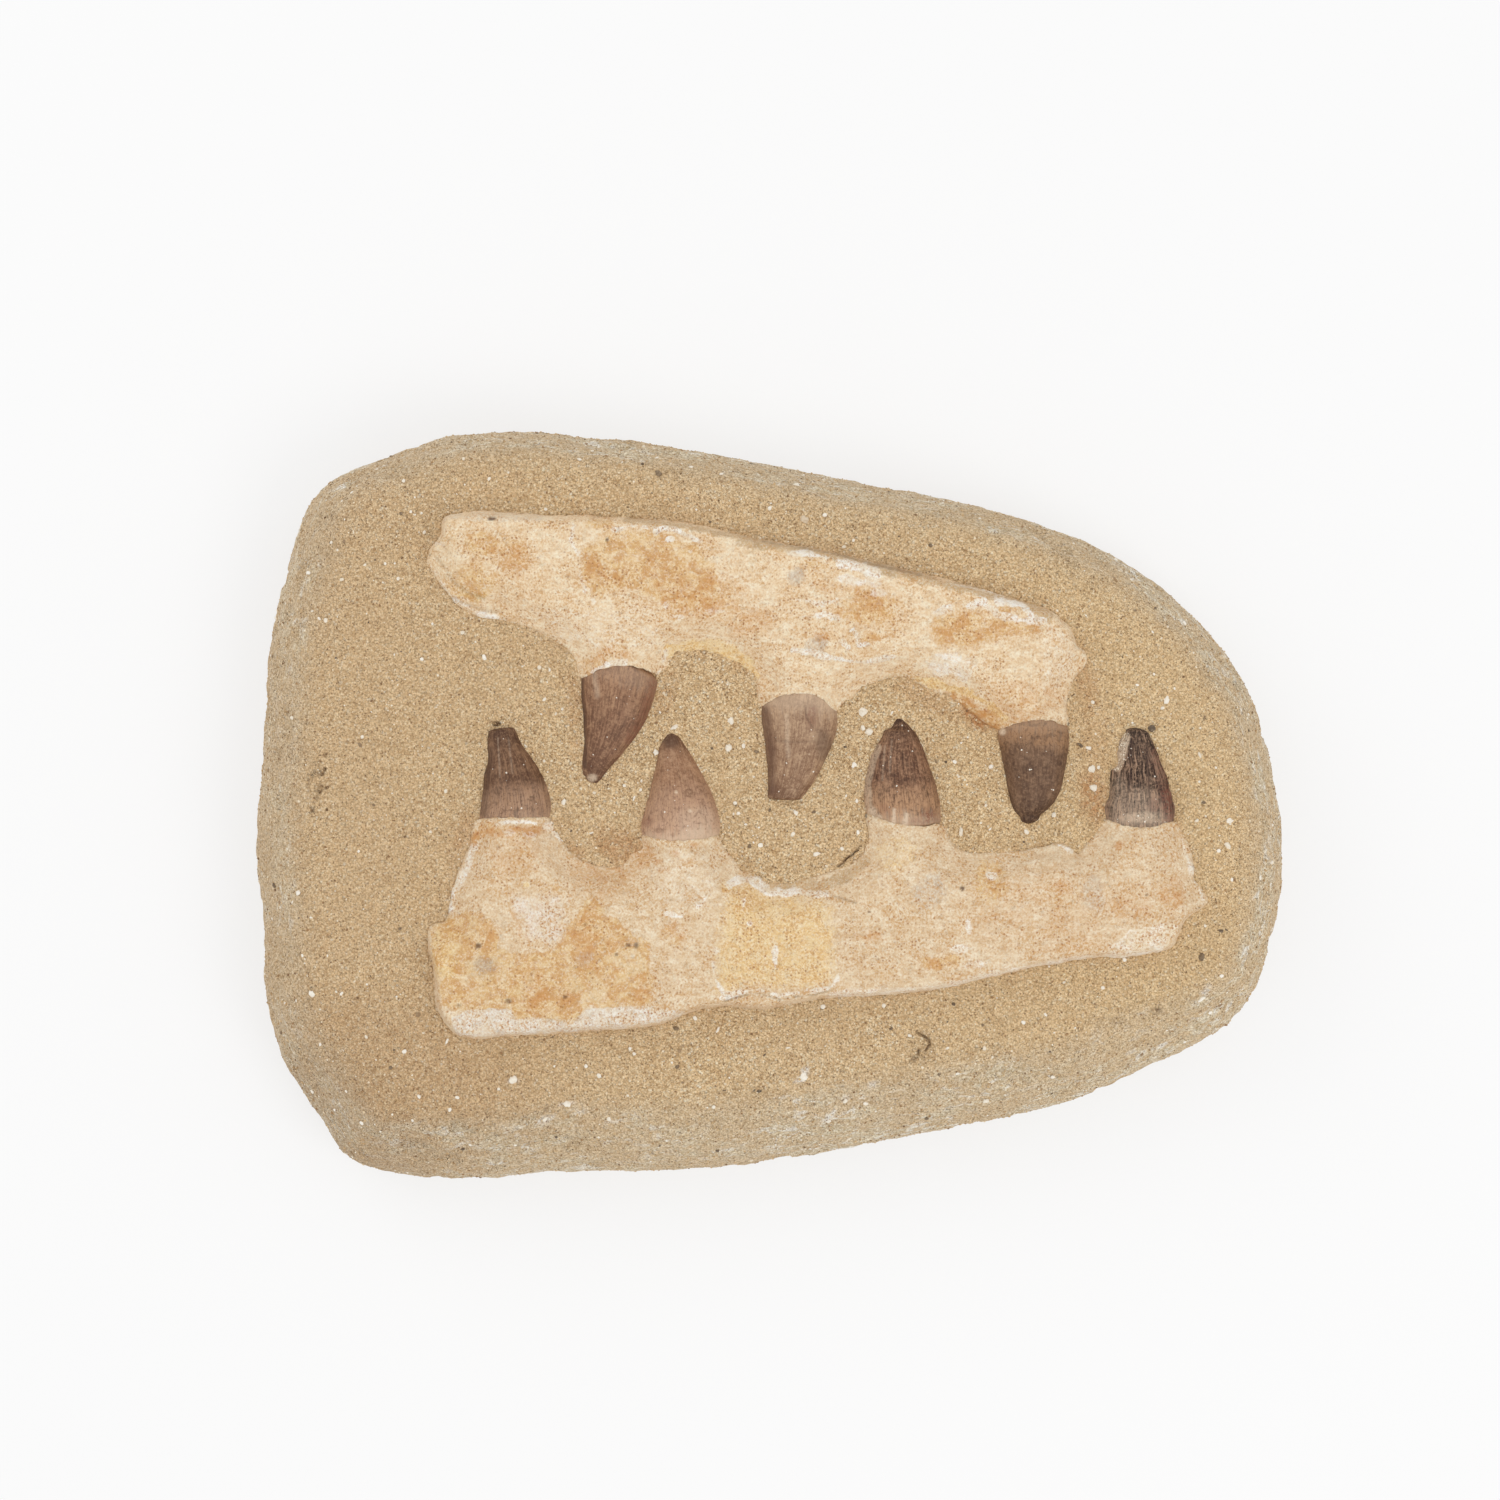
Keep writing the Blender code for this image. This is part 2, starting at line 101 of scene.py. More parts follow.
# Crowns: axis below the sand at base and tip, and thickness as a share of width, as in the solids
BASE_SINK, TIP_SINK = 2.2, 0.8
CROWN_DEPTH = 0.82
CROWN_ROOT = 5.0  # length of the root that is hidden in the bone
CROWN_SIDE_POINTS = 80  # points along each side of a crown's outline
CROWN_COLUMNS, CROWN_UNDER, CROWN_RINGS = 84, 12, 72  # points over a crown, points under it, rings along it


def tint(red, green, blue):
    """A colour as read from a picture, 0 to 255 a channel, made linear."""
    channels = []
    for value in (red, green, blue):
        share = value / 255
        channels.append(share / 12.92 if share <= 0.04045 else ((share + 0.055) / 1.055) ** 2.4)
    return (*channels, 1.0)


# Outlines

def smooth_loop(landmarks, step):
    """Points about a step apart on a smooth closed curve through the landmarks."""
    points = [Vector(p) for p in landmarks]
    count = len(points)

    def slope(i):
        before, here, after = points[i - 1], points[i], points[(i + 1) % count]
        back, ahead = (here - before).length, (after - here).length
        return ((after - here) * (back / ahead) + (here - before) * (ahead / back)) / (back + ahead)

    loop = []
    for i, start in enumerate(points):
        end = points[(i + 1) % count]
        length = (end - start).length
        pieces = max(1, round(length / step))
        for k in range(pieces):
            t = k / pieces
            loop.append(
                start * (2 * t**3 - 3 * t**2 + 1)
                + slope(i) * length * (t**3 - 2 * t**2 + t)
                + end * (3 * t**2 - 2 * t**3)
                + slope((i + 1) % count) * length * (t**3 - t**2)
            )
    return np.array([tuple(p) for p in loop])


def smooth_path(landmarks, count):
    """Evenly spaced points on a smooth open curve through the landmarks, of any dimension."""
    points = np.array(landmarks, float)
    slopes = np.gradient(points, axis=0)
    fine = []
    for a, b, slope_a, slope_b in zip(points, points[1:], slopes, slopes[1:]):
        for t in np.linspace(0, 1, 24, endpoint=False):
            fine.append(
                a * (2 * t**3 - 3 * t**2 + 1) + slope_a * (t**3 - 2 * t**2 + t)
                + b * (3 * t**2 - 2 * t**3) + slope_b * (t**3 - t**2)
            )
    fine = np.array(fine + [points[-1]])
    run = np.concatenate(([0], np.cumsum(np.linalg.norm(np.diff(fine, axis=0), axis=1))))
    stations = np.linspace(0, run[-1], count)
    return np.stack([np.interp(stations, run, column) for column in fine.T], 1)


def scallop(start, end, depth, fullness):
    """Landmarks along a rounded bay between two teeth, from start to end and depth mm to its left."""
    a, b = Vector(start), Vector(end)
    aside = Vector((a.y - b.y, b.x - a.x)).normalized()
    bay = []
    for t in (0.0, 0.12, 0.34, 0.66, 0.88, 1.0):
        rise = (1 - abs(2 * t - 1) ** fullness) ** (1 / fullness)
        bay.append(tuple(a.lerp(b, t) + aside * depth * rise))
    return bay


def outward(loop):
    """Unit vectors out of a loop that runs anticlockwise, one for each of its points."""
    along = np.roll(loop, -1, 0) - np.roll(loop, 1, 0)
    normals = np.stack((along[:, 1], -along[:, 0]), 1)
    return normals / np.linalg.norm(normals, axis=1)[:, None]


def nearest(loop, points):
    """For each point, the number of the loop's point nearest to it, and how far away that is."""
    tree = KDTree(len(loop))
    for i, (x, y) in enumerate(loop):
        tree.insert((x, y, 0.0), i)
    tree.balance()
    found = [tree.find((x, y, 0.0)) for x, y in points[:, :2]]
    return np.array([item[1] for item in found]), np.array([item[2] for item in found])


def is_inside(loop, points):
    x, y = points[:, 0], points[:, 1]
    crossed = np.zeros(len(points), bool)
    for (ax, ay), (bx, by) in zip(np.roll(loop, 1, 0), loop):
        if ay != by:
            spans = (ay > y) != (by > y)
            crossed ^= spans & (x < ax + (bx - ax) * (y - ay) / (by - ay))
    return crossed


def depth_inside(loop, points):
    """How far inside a loop each point lies, and less than nothing outside it."""
    distance = nearest(loop, points)[1]
    return np.where(is_inside(loop, points), distance, -distance)


def ease(value, low, high):
    """0 below low, 1 above high, and a smooth rise between."""
    share = np.clip((value - low) / (high - low), 0, 1)
    return share * share * (3 - 2 * share)


def ripple(points, wavelength, seed=0.0, stretch=(1, 1, 1)):
    """Smooth noise from -1 to 1 at each point, with waves of a length in millimetres."""
    scaled = points / (wavelength * np.array(stretch)) + (seed, 0.7 * seed, 1.3 * seed)
    return np.array([noise.noise(p) for p in scaled])


def flakes(points, wavelength, seed, level=0.15, edge=0.05):
    """1 on broad flakes with a sharp edge, and 0 between them."""
    return ease(ripple(points, wavelength, seed), level, level + edge)


def layered(points, kind, layers):
    """Ripples or flakes added up. Each layer is a height and what its kind needs."""
    return sum(height * kind(points, *facts) for height, *facts in layers)


# Crowns

class Crown:
    """One tooth crown, from its sides seen from above, base to tip, in millimetres."""

    def __init__(self, name, left, right, cap, arc, ragged=0.12):
        self.name = name
        self.left = smooth_path(left, CROWN_SIDE_POINTS)
        self.right = smooth_path(right, CROWN_SIDE_POINTS)
        self.cap = cap
        self.arc = arc  # how far the line of the base arcs into the bone
        aside = (self.right[0] - self.left[0]) / np.linalg.norm(self.right[0] - self.left[0])
        chipped = ease(np.arange(CROWN_SIDE_POINTS), 2, 12)
        for side, out, seed in ((self.left, -aside, 2.0), (self.right, aside, 9.0)):
            places = np.column_stack((side, np.zeros(CROWN_SIDE_POINTS)))
            chips = ripple(places, 2.2, seed) + 0.7 * ripple(places, 0.9, seed)
            side += out * (ragged * chipped * chips)[:, None]
        self.base = (self.left[0] + self.right[0]) / 2
        self.tip = (self.left[-1] + self.right[-1]) / 2
        self.axis = (self.tip - self.base) / np.linalg.norm(self.tip - self.base)
        self.length = np.linalg.norm(self.tip - self.base)

    def corners(self):
        return tuple(self.left[0]), tuple(self.right[0])

    def base_arc(self):
        """Landmarks along the line where the crown leaves the bone, from its left corner to its right."""
        left, right = self.left[0], self.right[0]
        return [
            tuple(left + (right - left) * t - self.axis * self.arc * 4 * t * (1 - t))
            for t in (0.0, 0.25, 0.5, 0.75, 1.0)
        ]

    def loop(self):
        """The crown seen from above, anticlockwise, with its rounded tip."""
        tip = [self.tip + self.axis * self.cap]
        points = np.concatenate((self.right, tip, self.left[::-1]))
        area = np.sum(points[:, 0] * np.roll(points[:, 1], -1) - points[:, 1] * np.roll(points[:, 0], -1))
        return points if area > 0 else points[::-1]

    def section(self, t):
        """At a share of the way to the tip: middle, direction to the right, half width, axis height."""
        place = t * (len(self.left) - 1)
        stations = np.arange(len(self.left))
        left, right = (
            np.array([np.interp(place, stations, column) for column in side.T])
            for side in (self.left, self.right)
        )
        width = np.linalg.norm(right - left)
        sink = BASE_SINK + (TIP_SINK - BASE_SINK) * t
        half = math.hypot(width / 2, sink / CROWN_DEPTH)
        return (left + right) / 2, (right - left) / width, half, MATRIX_TOP - sink

    def base_arch(self, points):
        """At the base: how far from the axis each point is, and the half width and height of the foot."""
        middle, turn, half, foot = self.section(0.0)
        return np.abs((points[:, :2] - middle) @ turn), half, foot

    def past_base(self, points):
        """How far in front of the line where it leaves the bone each point lies, towards the tip."""
        left, right = self.left[0], self.right[0]
        across = np.clip((points[:, :2] - left) @ (right - left) / ((right - left) @ (right - left)), 0, 1)
        return (points[:, :2] - self.base) @ self.axis + self.arc * 4 * across * (1 - across)


# Name, left and right side from base to tip, length of the rounded tip, and arc of the base
UPPER_CROWNS = [
    Crown(
        "upper_tooth_1",
        [(-57.3, 39), (-57, 33), (-56.4, 25.4), (-56.3, 19.3), (-56.9, 10.7), (-55.8, 8.6)],
        [(-33.1, 39.8), (-34.1, 35.3), (-37.4, 25.6), (-43.4, 16.9), (-48.6, 10.6), (-51.4, 7.2)], 1.0, 3.0,
    ),
    Crown(
        "upper_tooth_2",
        [(-3.2, 30.3), (-1.8, 20.8), (-0.9, 13), (-0.8, 7.8), (-0.8, 2.7)],
        [(20.9, 28.9), (20.4, 23), (18.6, 17.6), (15.2, 10.2), (12.4, 5.6), (9.8, 2.2)], 0.7, 4.6,
    ),
    Crown(
        "upper_tooth_3",
        [(69.1, 23.3), (68.9, 20.4), (70.7, 11.8), (72.2, 3.9), (73.4, -0.6), (75.6, -3.4)],
        [(90.2, 24.4), (90.3, 18), (89.1, 10.6), (87.6, 4.7), (85.4, 0.6), (81.6, -2.8)], 2.2, 2.2,
    ),
]
LOWER_CROWNS = [
    Crown(
        "lower_tooth_1",
        [(-88, -4.4), (-87.6, -1.5), (-86.6, 4.5), (-86.2, 9.5), (-85.2, 13.4), (-85.3, 18), (-85, 22.4)],
        [(-65.9, -4.5), (-65.9, 0), (-66.9, 5), (-69.1, 10), (-71.7, 14.5), (-74.9, 18.7), (-77, 23.4)],
        0.7, -0.8,
    ),
    Crown(
        "lower_tooth_2",
        [(-38.9, -9.7), (-38.9, -5.5), (-37.6, -0.9), (-35.8, 6.8), (-34.4, 13), (-33.2, 18.2),
         (-31.6, 21.4)],
        [(-14.9, -9.5), (-15.1, -4.4), (-16.7, 1.7), (-19.7, 8.4), (-23.4, 14.9), (-27.2, 20.6),
         (-28.6, 21.6)],
        0.5, 0.9,
    ),
    Crown(
        "lower_tooth_3",
        [(28.7, -2.6), (28.2, 1.5), (28.5, 6.4), (29.9, 13.7), (31.7, 17.8), (33.3, 20), (34.4, 22.6),
         (36.2, 23.6), (37.8, 25.8)],
        [(52.1, -6), (51.7, -2.5), (51.1, 2.4), (49.1, 9.7), (46.1, 17.8), (43.6, 22.6), (40.6, 25.6)],
        1.0, 1.4, ragged=0.3,
    ),
    Crown(
        "lower_tooth_4",
        [(101, -4.5), (101.5, -0.5), (102.4, 3.5), (102.8, 7.5), (103.3, 10.8), (104.9, 12.6), (104.9, 15.5),
         (105.6, 19.4), (107.6, 22.4)],
        [(121.8, -4.8), (122.1, -1), (120.7, 4.7), (119.4, 9.6), (118, 12.6), (116.5, 17), (114.5, 21.6)],
        1.4, 2.0, ragged=0.3,
    ),
]


def upper_loop():
    tooth_1, tooth_2, tooth_3 = UPPER_CROWNS
    gum_line = (
        tooth_3.base_arc()[::-1]
        + UPPER_ARCH_2_3
        + tooth_2.base_arc()[:0:-1]
        + scallop(tooth_1.corners()[1], tooth_2.corners()[0], 10.5, 2.5)[::-1]
        + tooth_1.base_arc()[-2::-1]
        + UPPER_STEP
    )
    return smooth_loop((gum_line + UPPER_BACK + UPPER_EDGE + UPPER_FRONT)[::-1], OUTLINE_STEP)


def lower_loop():
    tooth_1, tooth_2, tooth_3, tooth_4 = LOWER_CROWNS
    gum_line = (
        tooth_4.base_arc()[::-1]
        + LOWER_DIP_3_4
        + tooth_3.base_arc()[::-1]
        + LOWER_BAY_2_3
        + tooth_2.base_arc()[::-1]
        + LOWER_BAY_1_2
        + tooth_1.base_arc()[::-1]
    )
    return smooth_loop(gum_line + LOWER_BACK + LOWER_EDGE + LOWER_FRONT, OUTLINE_STEP)


def frayed(loop, crowns, chipped):
    """The loop with the small breaks of old bone, more at chipped places, and a little over the crowns."""
    points = np.column_stack((loop, np.zeros(len(loop))))
    calm = np.ones(len(loop))
    for crown in crowns:
        arc = smooth_path(crown.base_arc(), 60)
        calm *= ease(nearest(arc, points)[1], 0.5, 3.0)
    breaks = layered(points, ripple, RIM_BREAKS)
    for x, y, size in chipped:
        away = (loop[:, 0] - x) ** 2 + (loop[:, 1] - y) ** 2
        breaks += CHIPPED_DEPTH * ripple(points, 4.5, 8) * np.exp(-away / size**2)
    overlap = np.maximum(0, 0.4 + layered(points, ripple, RIM_OVERLAP))
    return loop + outward(loop) * (BREAK_DEPTH * breaks * calm + 0.6 * overlap * (1 - calm))[:, None]


# Marks: the stains, flakes and breaks that the bones, crowns and sand carry

def blot(x, y, half_width, half_height=None, turn=0.0):
    """An oval patch. The turn is in degrees."""
    return "blot", (x, y, half_width, half_height or half_width, math.radians(turn))


def stroke(width, *points):
    """A line of a width through some points."""
    return "stroke", (width, points)


def region(*points):
    """A patch with an outline of its own."""
    return "region", points


def mark(shape, raised=0.0, fringe=None, **stains):
    """A shape with its relief and the stains in it. Its fringe is how softly it ends, in millimetres."""
    kind, facts = shape
    if fringe is None and kind == "blot":
        fringe = 0.9 * min(facts[2:4])
    elif fringe is None:
        fringe = 0.8 * facts[0] if kind == "stroke" else 2.0
    return shape, raised, fringe, stains


def ovals(stain, *rows):
    """Oval patches of one stain, each with its place, its half width and height, and its strength."""
    return [mark(blot(x, y, width, height), **{stain: strength}) for x, y, width, height, strength in rows]


def reach(shape, points):
    """How deep inside a mark's shape each point lies, in millimetres, and less than nothing outside."""
    kind, facts = shape
    flat = points[:, :2]
    if kind == "blot":
        x, y, half_width, half_height, turn = facts
        away = flat - (x, y)
        across = (away[:, 0] * math.cos(turn) + away[:, 1] * math.sin(turn)) / half_width
        up = (away[:, 1] * math.cos(turn) - away[:, 0] * math.sin(turn)) / half_height
        return (1 - np.hypot(across, up)) * min(half_width, half_height)
    width, corners = facts if kind == "stroke" else (0.0, facts + facts[:1])
    distance = np.full(len(points), np.inf)
    for a, b in zip(np.array(corners, float), np.array(corners[1:], float)):
        along = b - a
        share = np.clip((flat - a) @ along / (along @ along), 0, 1)
        distance = np.minimum(distance, np.linalg.norm(flat - a - share[:, None] * along, axis=1))
    if kind == "stroke":
        return width / 2 - distance
    return np.where(is_inside(np.array(facts, float), points), distance, -distance)


def lay_marks(points, marks, names, wander):
    """The stain of each name at the points, and the relief that the marks raise there."""
    stains = {name: np.zeros(len(points)) for name in names}
    relief = np.zeros(len(points))
    for shape, raised, fringe, amounts in marks:
        strength = ease(reach(shape, points) + wander * min(1.0, 0.6 * fringe), -fringe / 2, fringe / 2)
        relief += raised * strength
        for name, amount in amounts.items():
            stains[name] = np.maximum(stains[name], amount * strength)
    return stains, relief


def wandering(points, seed):
    """How far the edge of a mark strays at each point, in millimetres."""
    return layered(points, ripple, ((1.3, 6, seed), (0.9, 2.4, seed + 3), (0.5, 1.1, seed + 5)))


# Meshes

def sheet_cut_to(loop, cell):
    """A flat sheet of square cells inside a loop, with its border drawn out to the loop."""
    low, high = loop.min(0), loop.max(0)
    middle, half = (low + high) / 2, (high - low) / 2 + cell
    bm = bmesh.new()
    bmesh.ops.create_grid(
        bm,
        x_segments=round(2 * half[0] / cell),
        y_segments=round(2 * half[1] / cell),
        size=1.0,
        matrix=Matrix.Translation((*middle, 0)) @ Matrix.Diagonal((*half, 1, 1)),
    )
    kept = is_inside(loop, np.array([vert.co[:] for vert in bm.verts]))
    outside = [vert for vert, keep in zip(bm.verts, kept) if not keep]
    while outside:
        bmesh.ops.delete(bm, geom=outside, context="VERTS")
        outside = [
            vert for vert in bm.verts
            if not vert.link_faces or sum(edge.is_boundary for edge in vert.link_edges) not in (0, 2)
        ]
    border = [vert for vert in bm.verts if vert.is_boundary]
    numbers = nearest(loop, np.array([vert.co[:] for vert in border]))[0]
    for vert, number in zip(border, numbers):
        vert.co.x, vert.co.y = loop[number]
    bmesh.ops.remove_doubles(bm, verts=border, dist=0.3 * cell)
    rim_faces = {face for vert in bm.verts if vert.is_boundary for face in vert.link_faces}
    near = {vert for face in rim_faces for vert in face.verts}
    ring = [vert for vert in bm.verts if vert in near and not vert.is_boundary]
    for _ in range(3):
        bmesh.ops.smooth_vert(bm, verts=ring, factor=0.5, use_axis_x=True, use_axis_y=True)
    return bm


def coordinates(bm):
    return np.array([vert.co[:] for vert in bm.verts])


def border_of(bm):
    return [edge for edge in bm.edges if edge.is_boundary]


def drop_border(bm, places):
    """Extrudes the open border, and moves each new point to its own of the places."""
    grown = bmesh.ops.extrude_edge_only(bm, edges=border_of(bm))["geom"]
    station = bm.verts.layers.int["station"]
    for item in grown:
        if isinstance(item, bmesh.types.BMVert):
            item.co = places[item[station]]


def close_sole(bm):
    """Closes the open border with one flat face, cut into triangles."""
    sole = bmesh.ops.contextual_create(bm, geom=border_of(bm))["faces"]
    bmesh.ops.triangulate(bm, faces=sole)


def number_border(bm, loop):
    """Writes on each border point which point of the loop it lies at."""
    station = bm.verts.layers.int.new("station")
    border = [vert for vert in bm.verts if vert.is_boundary]
    for vert, number in zip(border, nearest(loop, np.array([vert.co[:] for vert in border]))[0]):
        vert[station] = int(number)


def order_faces(bm):
    """Sorts the faces by their points, because extruding leaves them in another order each time."""
    bm.verts.index_update()
    count = len(bm.verts)

    def number_in_line(face):
        first, second, third = sorted(vert.index for vert in face.verts)[:3]
        return (first * count + second) * count + third

    bm.faces.sort(key=number_in_line)


def put_in_scene(name, data):
    obj = bpy.data.objects.new(name, data)
    bpy.context.scene.collection.objects.link(obj)
    return obj


def finish_piece(name, bm, material, replaced=(), attributes=None, smooth=True):
    """Makes an object in metres of a bmesh in millimetres, dressed, on the root body."""
    bmesh.ops.recalc_face_normals(bm, faces=bm.faces)
    bmesh.ops.scale(bm, vec=(MM, MM, MM), verts=bm.verts)
    order_faces(bm)
    mesh = bpy.data.meshes.new(name)
    bm.to_mesh(mesh)
    bm.free()
    for layer, values in (attributes or {}).items():
        mesh.attributes.new(layer, "FLOAT", "POINT").data.foreach_set("value", values.astype(np.float32))
    if smooth:
        mesh.shade_smooth()
    mesh.materials.append(material)
    obj = put_in_scene(name, mesh)
    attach(obj, "root")
    if replaced:
        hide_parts(*replaced)
    return obj


# Block of sand

# One of these stains darkens the sand, and paints shade into the carved cracks and holes
SAND_STAINS = ("rust", "chalk", "damp", "white")
SAND_MARKS = [
    # Orange sand beside the crowns
    mark(blot(98, 3, 4, 10, 8), fringe=4, rust=0.75),
    mark(blot(-45, -12.5, 8, 5, -20), fringe=5, rust=0.6),
    mark(blot(-93, -10, 3, 8, -15), fringe=4, rust=0.35),
    mark(blot(-58.8, 28, 2.2, 12), fringe=3, rust=0.4),
    mark(blot(-30.5, 34, 2.4, 8, -15), fringe=3, rust=0.3),
    mark(blot(47, 33, 11, 3.5, -28), fringe=3.5, rust=0.35),
    mark(blot(95, 38, 3, 12, 10), fringe=4, rust=0.45),
    mark(blot(98, 20, 4, 14, 5), fringe=5, rust=0.25),
    mark(blot(-128, -98, 30, 24, -40), fringe=20, rust=0.25, damp=0.2),
    mark(blot(-112, -84, 44, 22, -20), fringe=20, rust=0.2, damp=0.1),
    mark(blot(63, 27, 7, 3.4, -38), fringe=2.5, rust=1),
    # White smudges along the near edge
    mark(stroke(1.5, (16.6, -96), (18.4, -94), (19.6, -92.6)), fringe=0.8, white=0.9),
    mark(stroke(1.2, (13.5, -94.6), (16, -94.2)), fringe=0.8, white=0.7),
    mark(blot(23, -89.4, 1.4, 0.8, 20), fringe=0.8, white=0.8),
    mark(stroke(1.1, (-70, -95.6), (-66.5, -94.8)), fringe=0.8, white=0.7),
    mark(stroke(1.0, (-63, -90.4), (-59.8, -89.6)), fringe=0.8, white=0.7),
    mark(stroke(1.0, (-79, -83.2), (-76.4, -82.6)), fringe=0.8, white=0.8),
    mark(stroke(1.2, (8.2, -83.6), (10.2, -82), (10.6, -79.6)), fringe=0.8, white=0.8),
    mark(blot(31, -84, 1.2, 0.7, 10), fringe=0.7, white=0.6),
    mark(blot(132, -56.5, 1.6, 0.8, 60), fringe=0.7, white=0.8),
    # Darker sand about a burrow, and small holes with painted shade in them
    mark(blot(46, -72.5, 4, 5), fringe=4, damp=0.15),
    mark(blot(-59, -14, 3, 4), fringe=3, rust=0.4),
    mark(blot(-67, -91.5, 1.5, 0.8, 30), -1.0, 0.8, damp=0.6),
]
CRACKS = [
    # A broken burrow below the lower jaw, the crack in the bay beside the second crown, and small holes, all
    # carved and darkened with painted shade
    mark(stroke(0.9, (44.6, -68.2), (45.4, -69), (47.1, -70.1), (48.3, -71), (48.3, -72.3),
        (47.2, -73.9)), -0.9, 0.5, damp=0.9),
    mark(stroke(0.9, (45.1, -74), (44.8, -75.3), (44, -76.4), (42.4, -77.8)), -0.9, 0.6, damp=0.8),
    mark(stroke(0.7, (44.8, -75.7), (46.8, -76.2)), -0.5, 0.5, damp=0.6),
    mark(stroke(0.4, (20.6, -18.1), (22, -17.2)), -0.6, 0.4, damp=0.8),
    mark(stroke(0.6, (22.4, -16.6), (23.1, -15.7), (24.3, -14.9)), -0.8, 0.4, damp=1),
    mark(stroke(0.5, (24.9, -14.7), (25.3, -13.9), (26.4, -13.3)), -0.8, 0.4, damp=1),
    mark(stroke(0.3, (26.5, -12.6), (27.7, -11.8)), -0.5, 0.4, damp=0.7),
    mark(blot(-82.5, 24.8, 1, 0.7), -0.9, 0.5, damp=1),
    mark(blot(117.6, -62.2, 1.1, 0.8), -1.0, 0.6, damp=0.9),
    mark(blot(-136.3, 10.8, 0.55), -0.9, 0.4, damp=1),
    mark(blot(-134.6, 11, 0.5, 0.65, -25), -0.8, 0.4, damp=1),
    mark(blot(-135.4, 9.7, 0.55, 0.7, -25), -0.9, 0.4, damp=1),
    mark(blot(-137.2, 10.2, 0.4, 0.6), -0.6, 0.4, damp=0.8),
    mark(blot(-134.2, 15.5, 0.4, 0.9, -30), -0.6, 0.4, damp=0.8),
    mark(stroke(0.6, (-137.2, 12.9), (-135.9, 13.4)), -0.5, 0.4, damp=0.6),
    mark(stroke(0.6, (-138.9, 10), (-138.6, 9), (-139.6, 7.4), (-139.3, 6),
        (-140.1, 4.8)), -0.5, 0.5, damp=0.6),
    mark(blot(-136.2, 5.1, 1, 1.3, -20), -0.6, 0.6, damp=0.45),
    mark(blot(-136.5, 4.1, 0.6, 0.5), -0.8, 0.4, damp=1),
    mark(blot(-133.9, 5.6, 0.7, 0.4, 25), -0.6, 0.4, damp=0.8),
    mark(blot(-137.3, 2.4, 1, 1, 20), -0.5, 0.6, damp=0.5),
    mark(blot(-139, 1.6, 0.4, 0.7), -0.6, 0.4, damp=0.8),
    mark(blot(-138.5, -1, 0.6), -0.9, 0.4, damp=1),
]
CRACK_MARGIN = 2.0  # how far round a crack the sand's mesh is finer
# Height, wavelength and seed of the ripples of the crust, and of the beds in the flank with their stretch
SAND_CRUST = ((0.26, 12, 21), (0.22, 4.6, 23), (0.18, 2.4, 29))
FLANK_BEDS = ((0.3, 3, 43, (5, 5, 0.6)), (0.25, 3.4, 47), (0.4, 8, 55), (0.28, 3.0, 57))
# Depth, wavelength and seed of the chips off the flank, the level where they start and their edge
FLANK_CHIPS = ((-0.9, 8, 31, 0.36, 0.12), (-0.5, 4, 33, 0.42, 0.12))
BANK_WIDTH = 2.4  # how far the sand banks up beside a bone or crown
BONE_BANK, CROWN_BANK = 1.1, 0.5  # how high it stands there
# The sand beside a bone is browned and darkened: partly rust, partly painted shade at the bone's foot
BROWN_WIDTH, BROWN_MOST = 2.6, 0.15  # how far and how strongly the sand beside a bone is browned
# A direction, how chalky the flank is there, and the height below which it is
FLANK_CHALK = ((0, -1, 0.72, 46.5), (1, 0, 0.95, 44.5), (0, 1, 0.95, 44.5), (-1, 0, 0.3, 45.5))
CHALK_EDGE = ((1.8, 9, 49), (0.9, 3.5, 51))
CHALK_PATCHES = ((1.0, 14, 41, (1.8, 1.8, 1)), (0.6, 5, 45, (1.8, 1.8, 1)))


def block_columns():
    """The block's widest outline, its unit vectors towards the middle, and each shoulder's inset."""
    loop = smooth_loop(BLOCK_OUTLINE, 9.5)
    loop = smooth_loop(loop - (loop.min(0) + loop.max(0)) / 2, 0.5)
    normals = outward(loop)
    radial = loop / np.linalg.norm(loop, axis=1)[:, None]
    inwards = -radial / np.sum(normals * radial, 1)[:, None]
    sides = (
        (SHOULDER_EAST, normals[:, 0]), (SHOULDER_WEST, -normals[:, 0]),
        (SHOULDER_NORTH, normals[:, 1]), (SHOULDER_SOUTH, -normals[:, 1]),
    )
    inset = sum(width * np.maximum(share, 0) ** 2 for width, share in sides)
    return loop, inwards, inset


def sand_height(points, shoulder):
    """Height of the block's upper face, rounded down at its shoulder."""
    angle = np.arctan2(shoulder[:, 1], shoulder[:, 0])
    order = np.argsort(angle)
    radius = np.interp(
        np.arctan2(points[:, 1], points[:, 0]), angle[order], np.linalg.norm(shoulder, axis=1)[order],
        period=2 * math.pi,
    )
    share = np.linalg.norm(points[:, :2], axis=1) / radius
    flat = np.column_stack((points[:, :2], np.zeros(len(points))))
    height = MATRIX_TOP - FACE_FALL * share**2 + FACE_SWELL * ripple(flat, 45)
    return height + (SHOULDER_HEIGHT - height) * ease(share, 0.9, 1.0) * 0.9


def bed_the_sand(bm, bones, crowns, shoulder):
    """Gives the sand's face its height, with banks beside the bones and crowns and a bed under them."""
    points = coordinates(bm)
    heights = sand_height(points, shoulder)
    lips = [(depth_inside(loop, points), BONE_BANK, BONE_LIP) for loop in bones]
    lips += [(depth_inside(crown.loop(), points), CROWN_BANK, CROWN_LIP) for crown in crowns]
    uneven = 1 + 0.6 * ripple(points, 5, 11)
    bedded = np.zeros(len(points), bool)
    for depth, bank, lip in lips:
        heights += bank * uneven * np.exp(-((np.minimum(depth, 0) / BANK_WIDTH) ** 2))
        bedded |= depth > lip
    heights[bedded] = MATRIX_TOP - BED_DEPTH
    for vert, height in zip(bm.verts, heights):
        vert.co.z = height


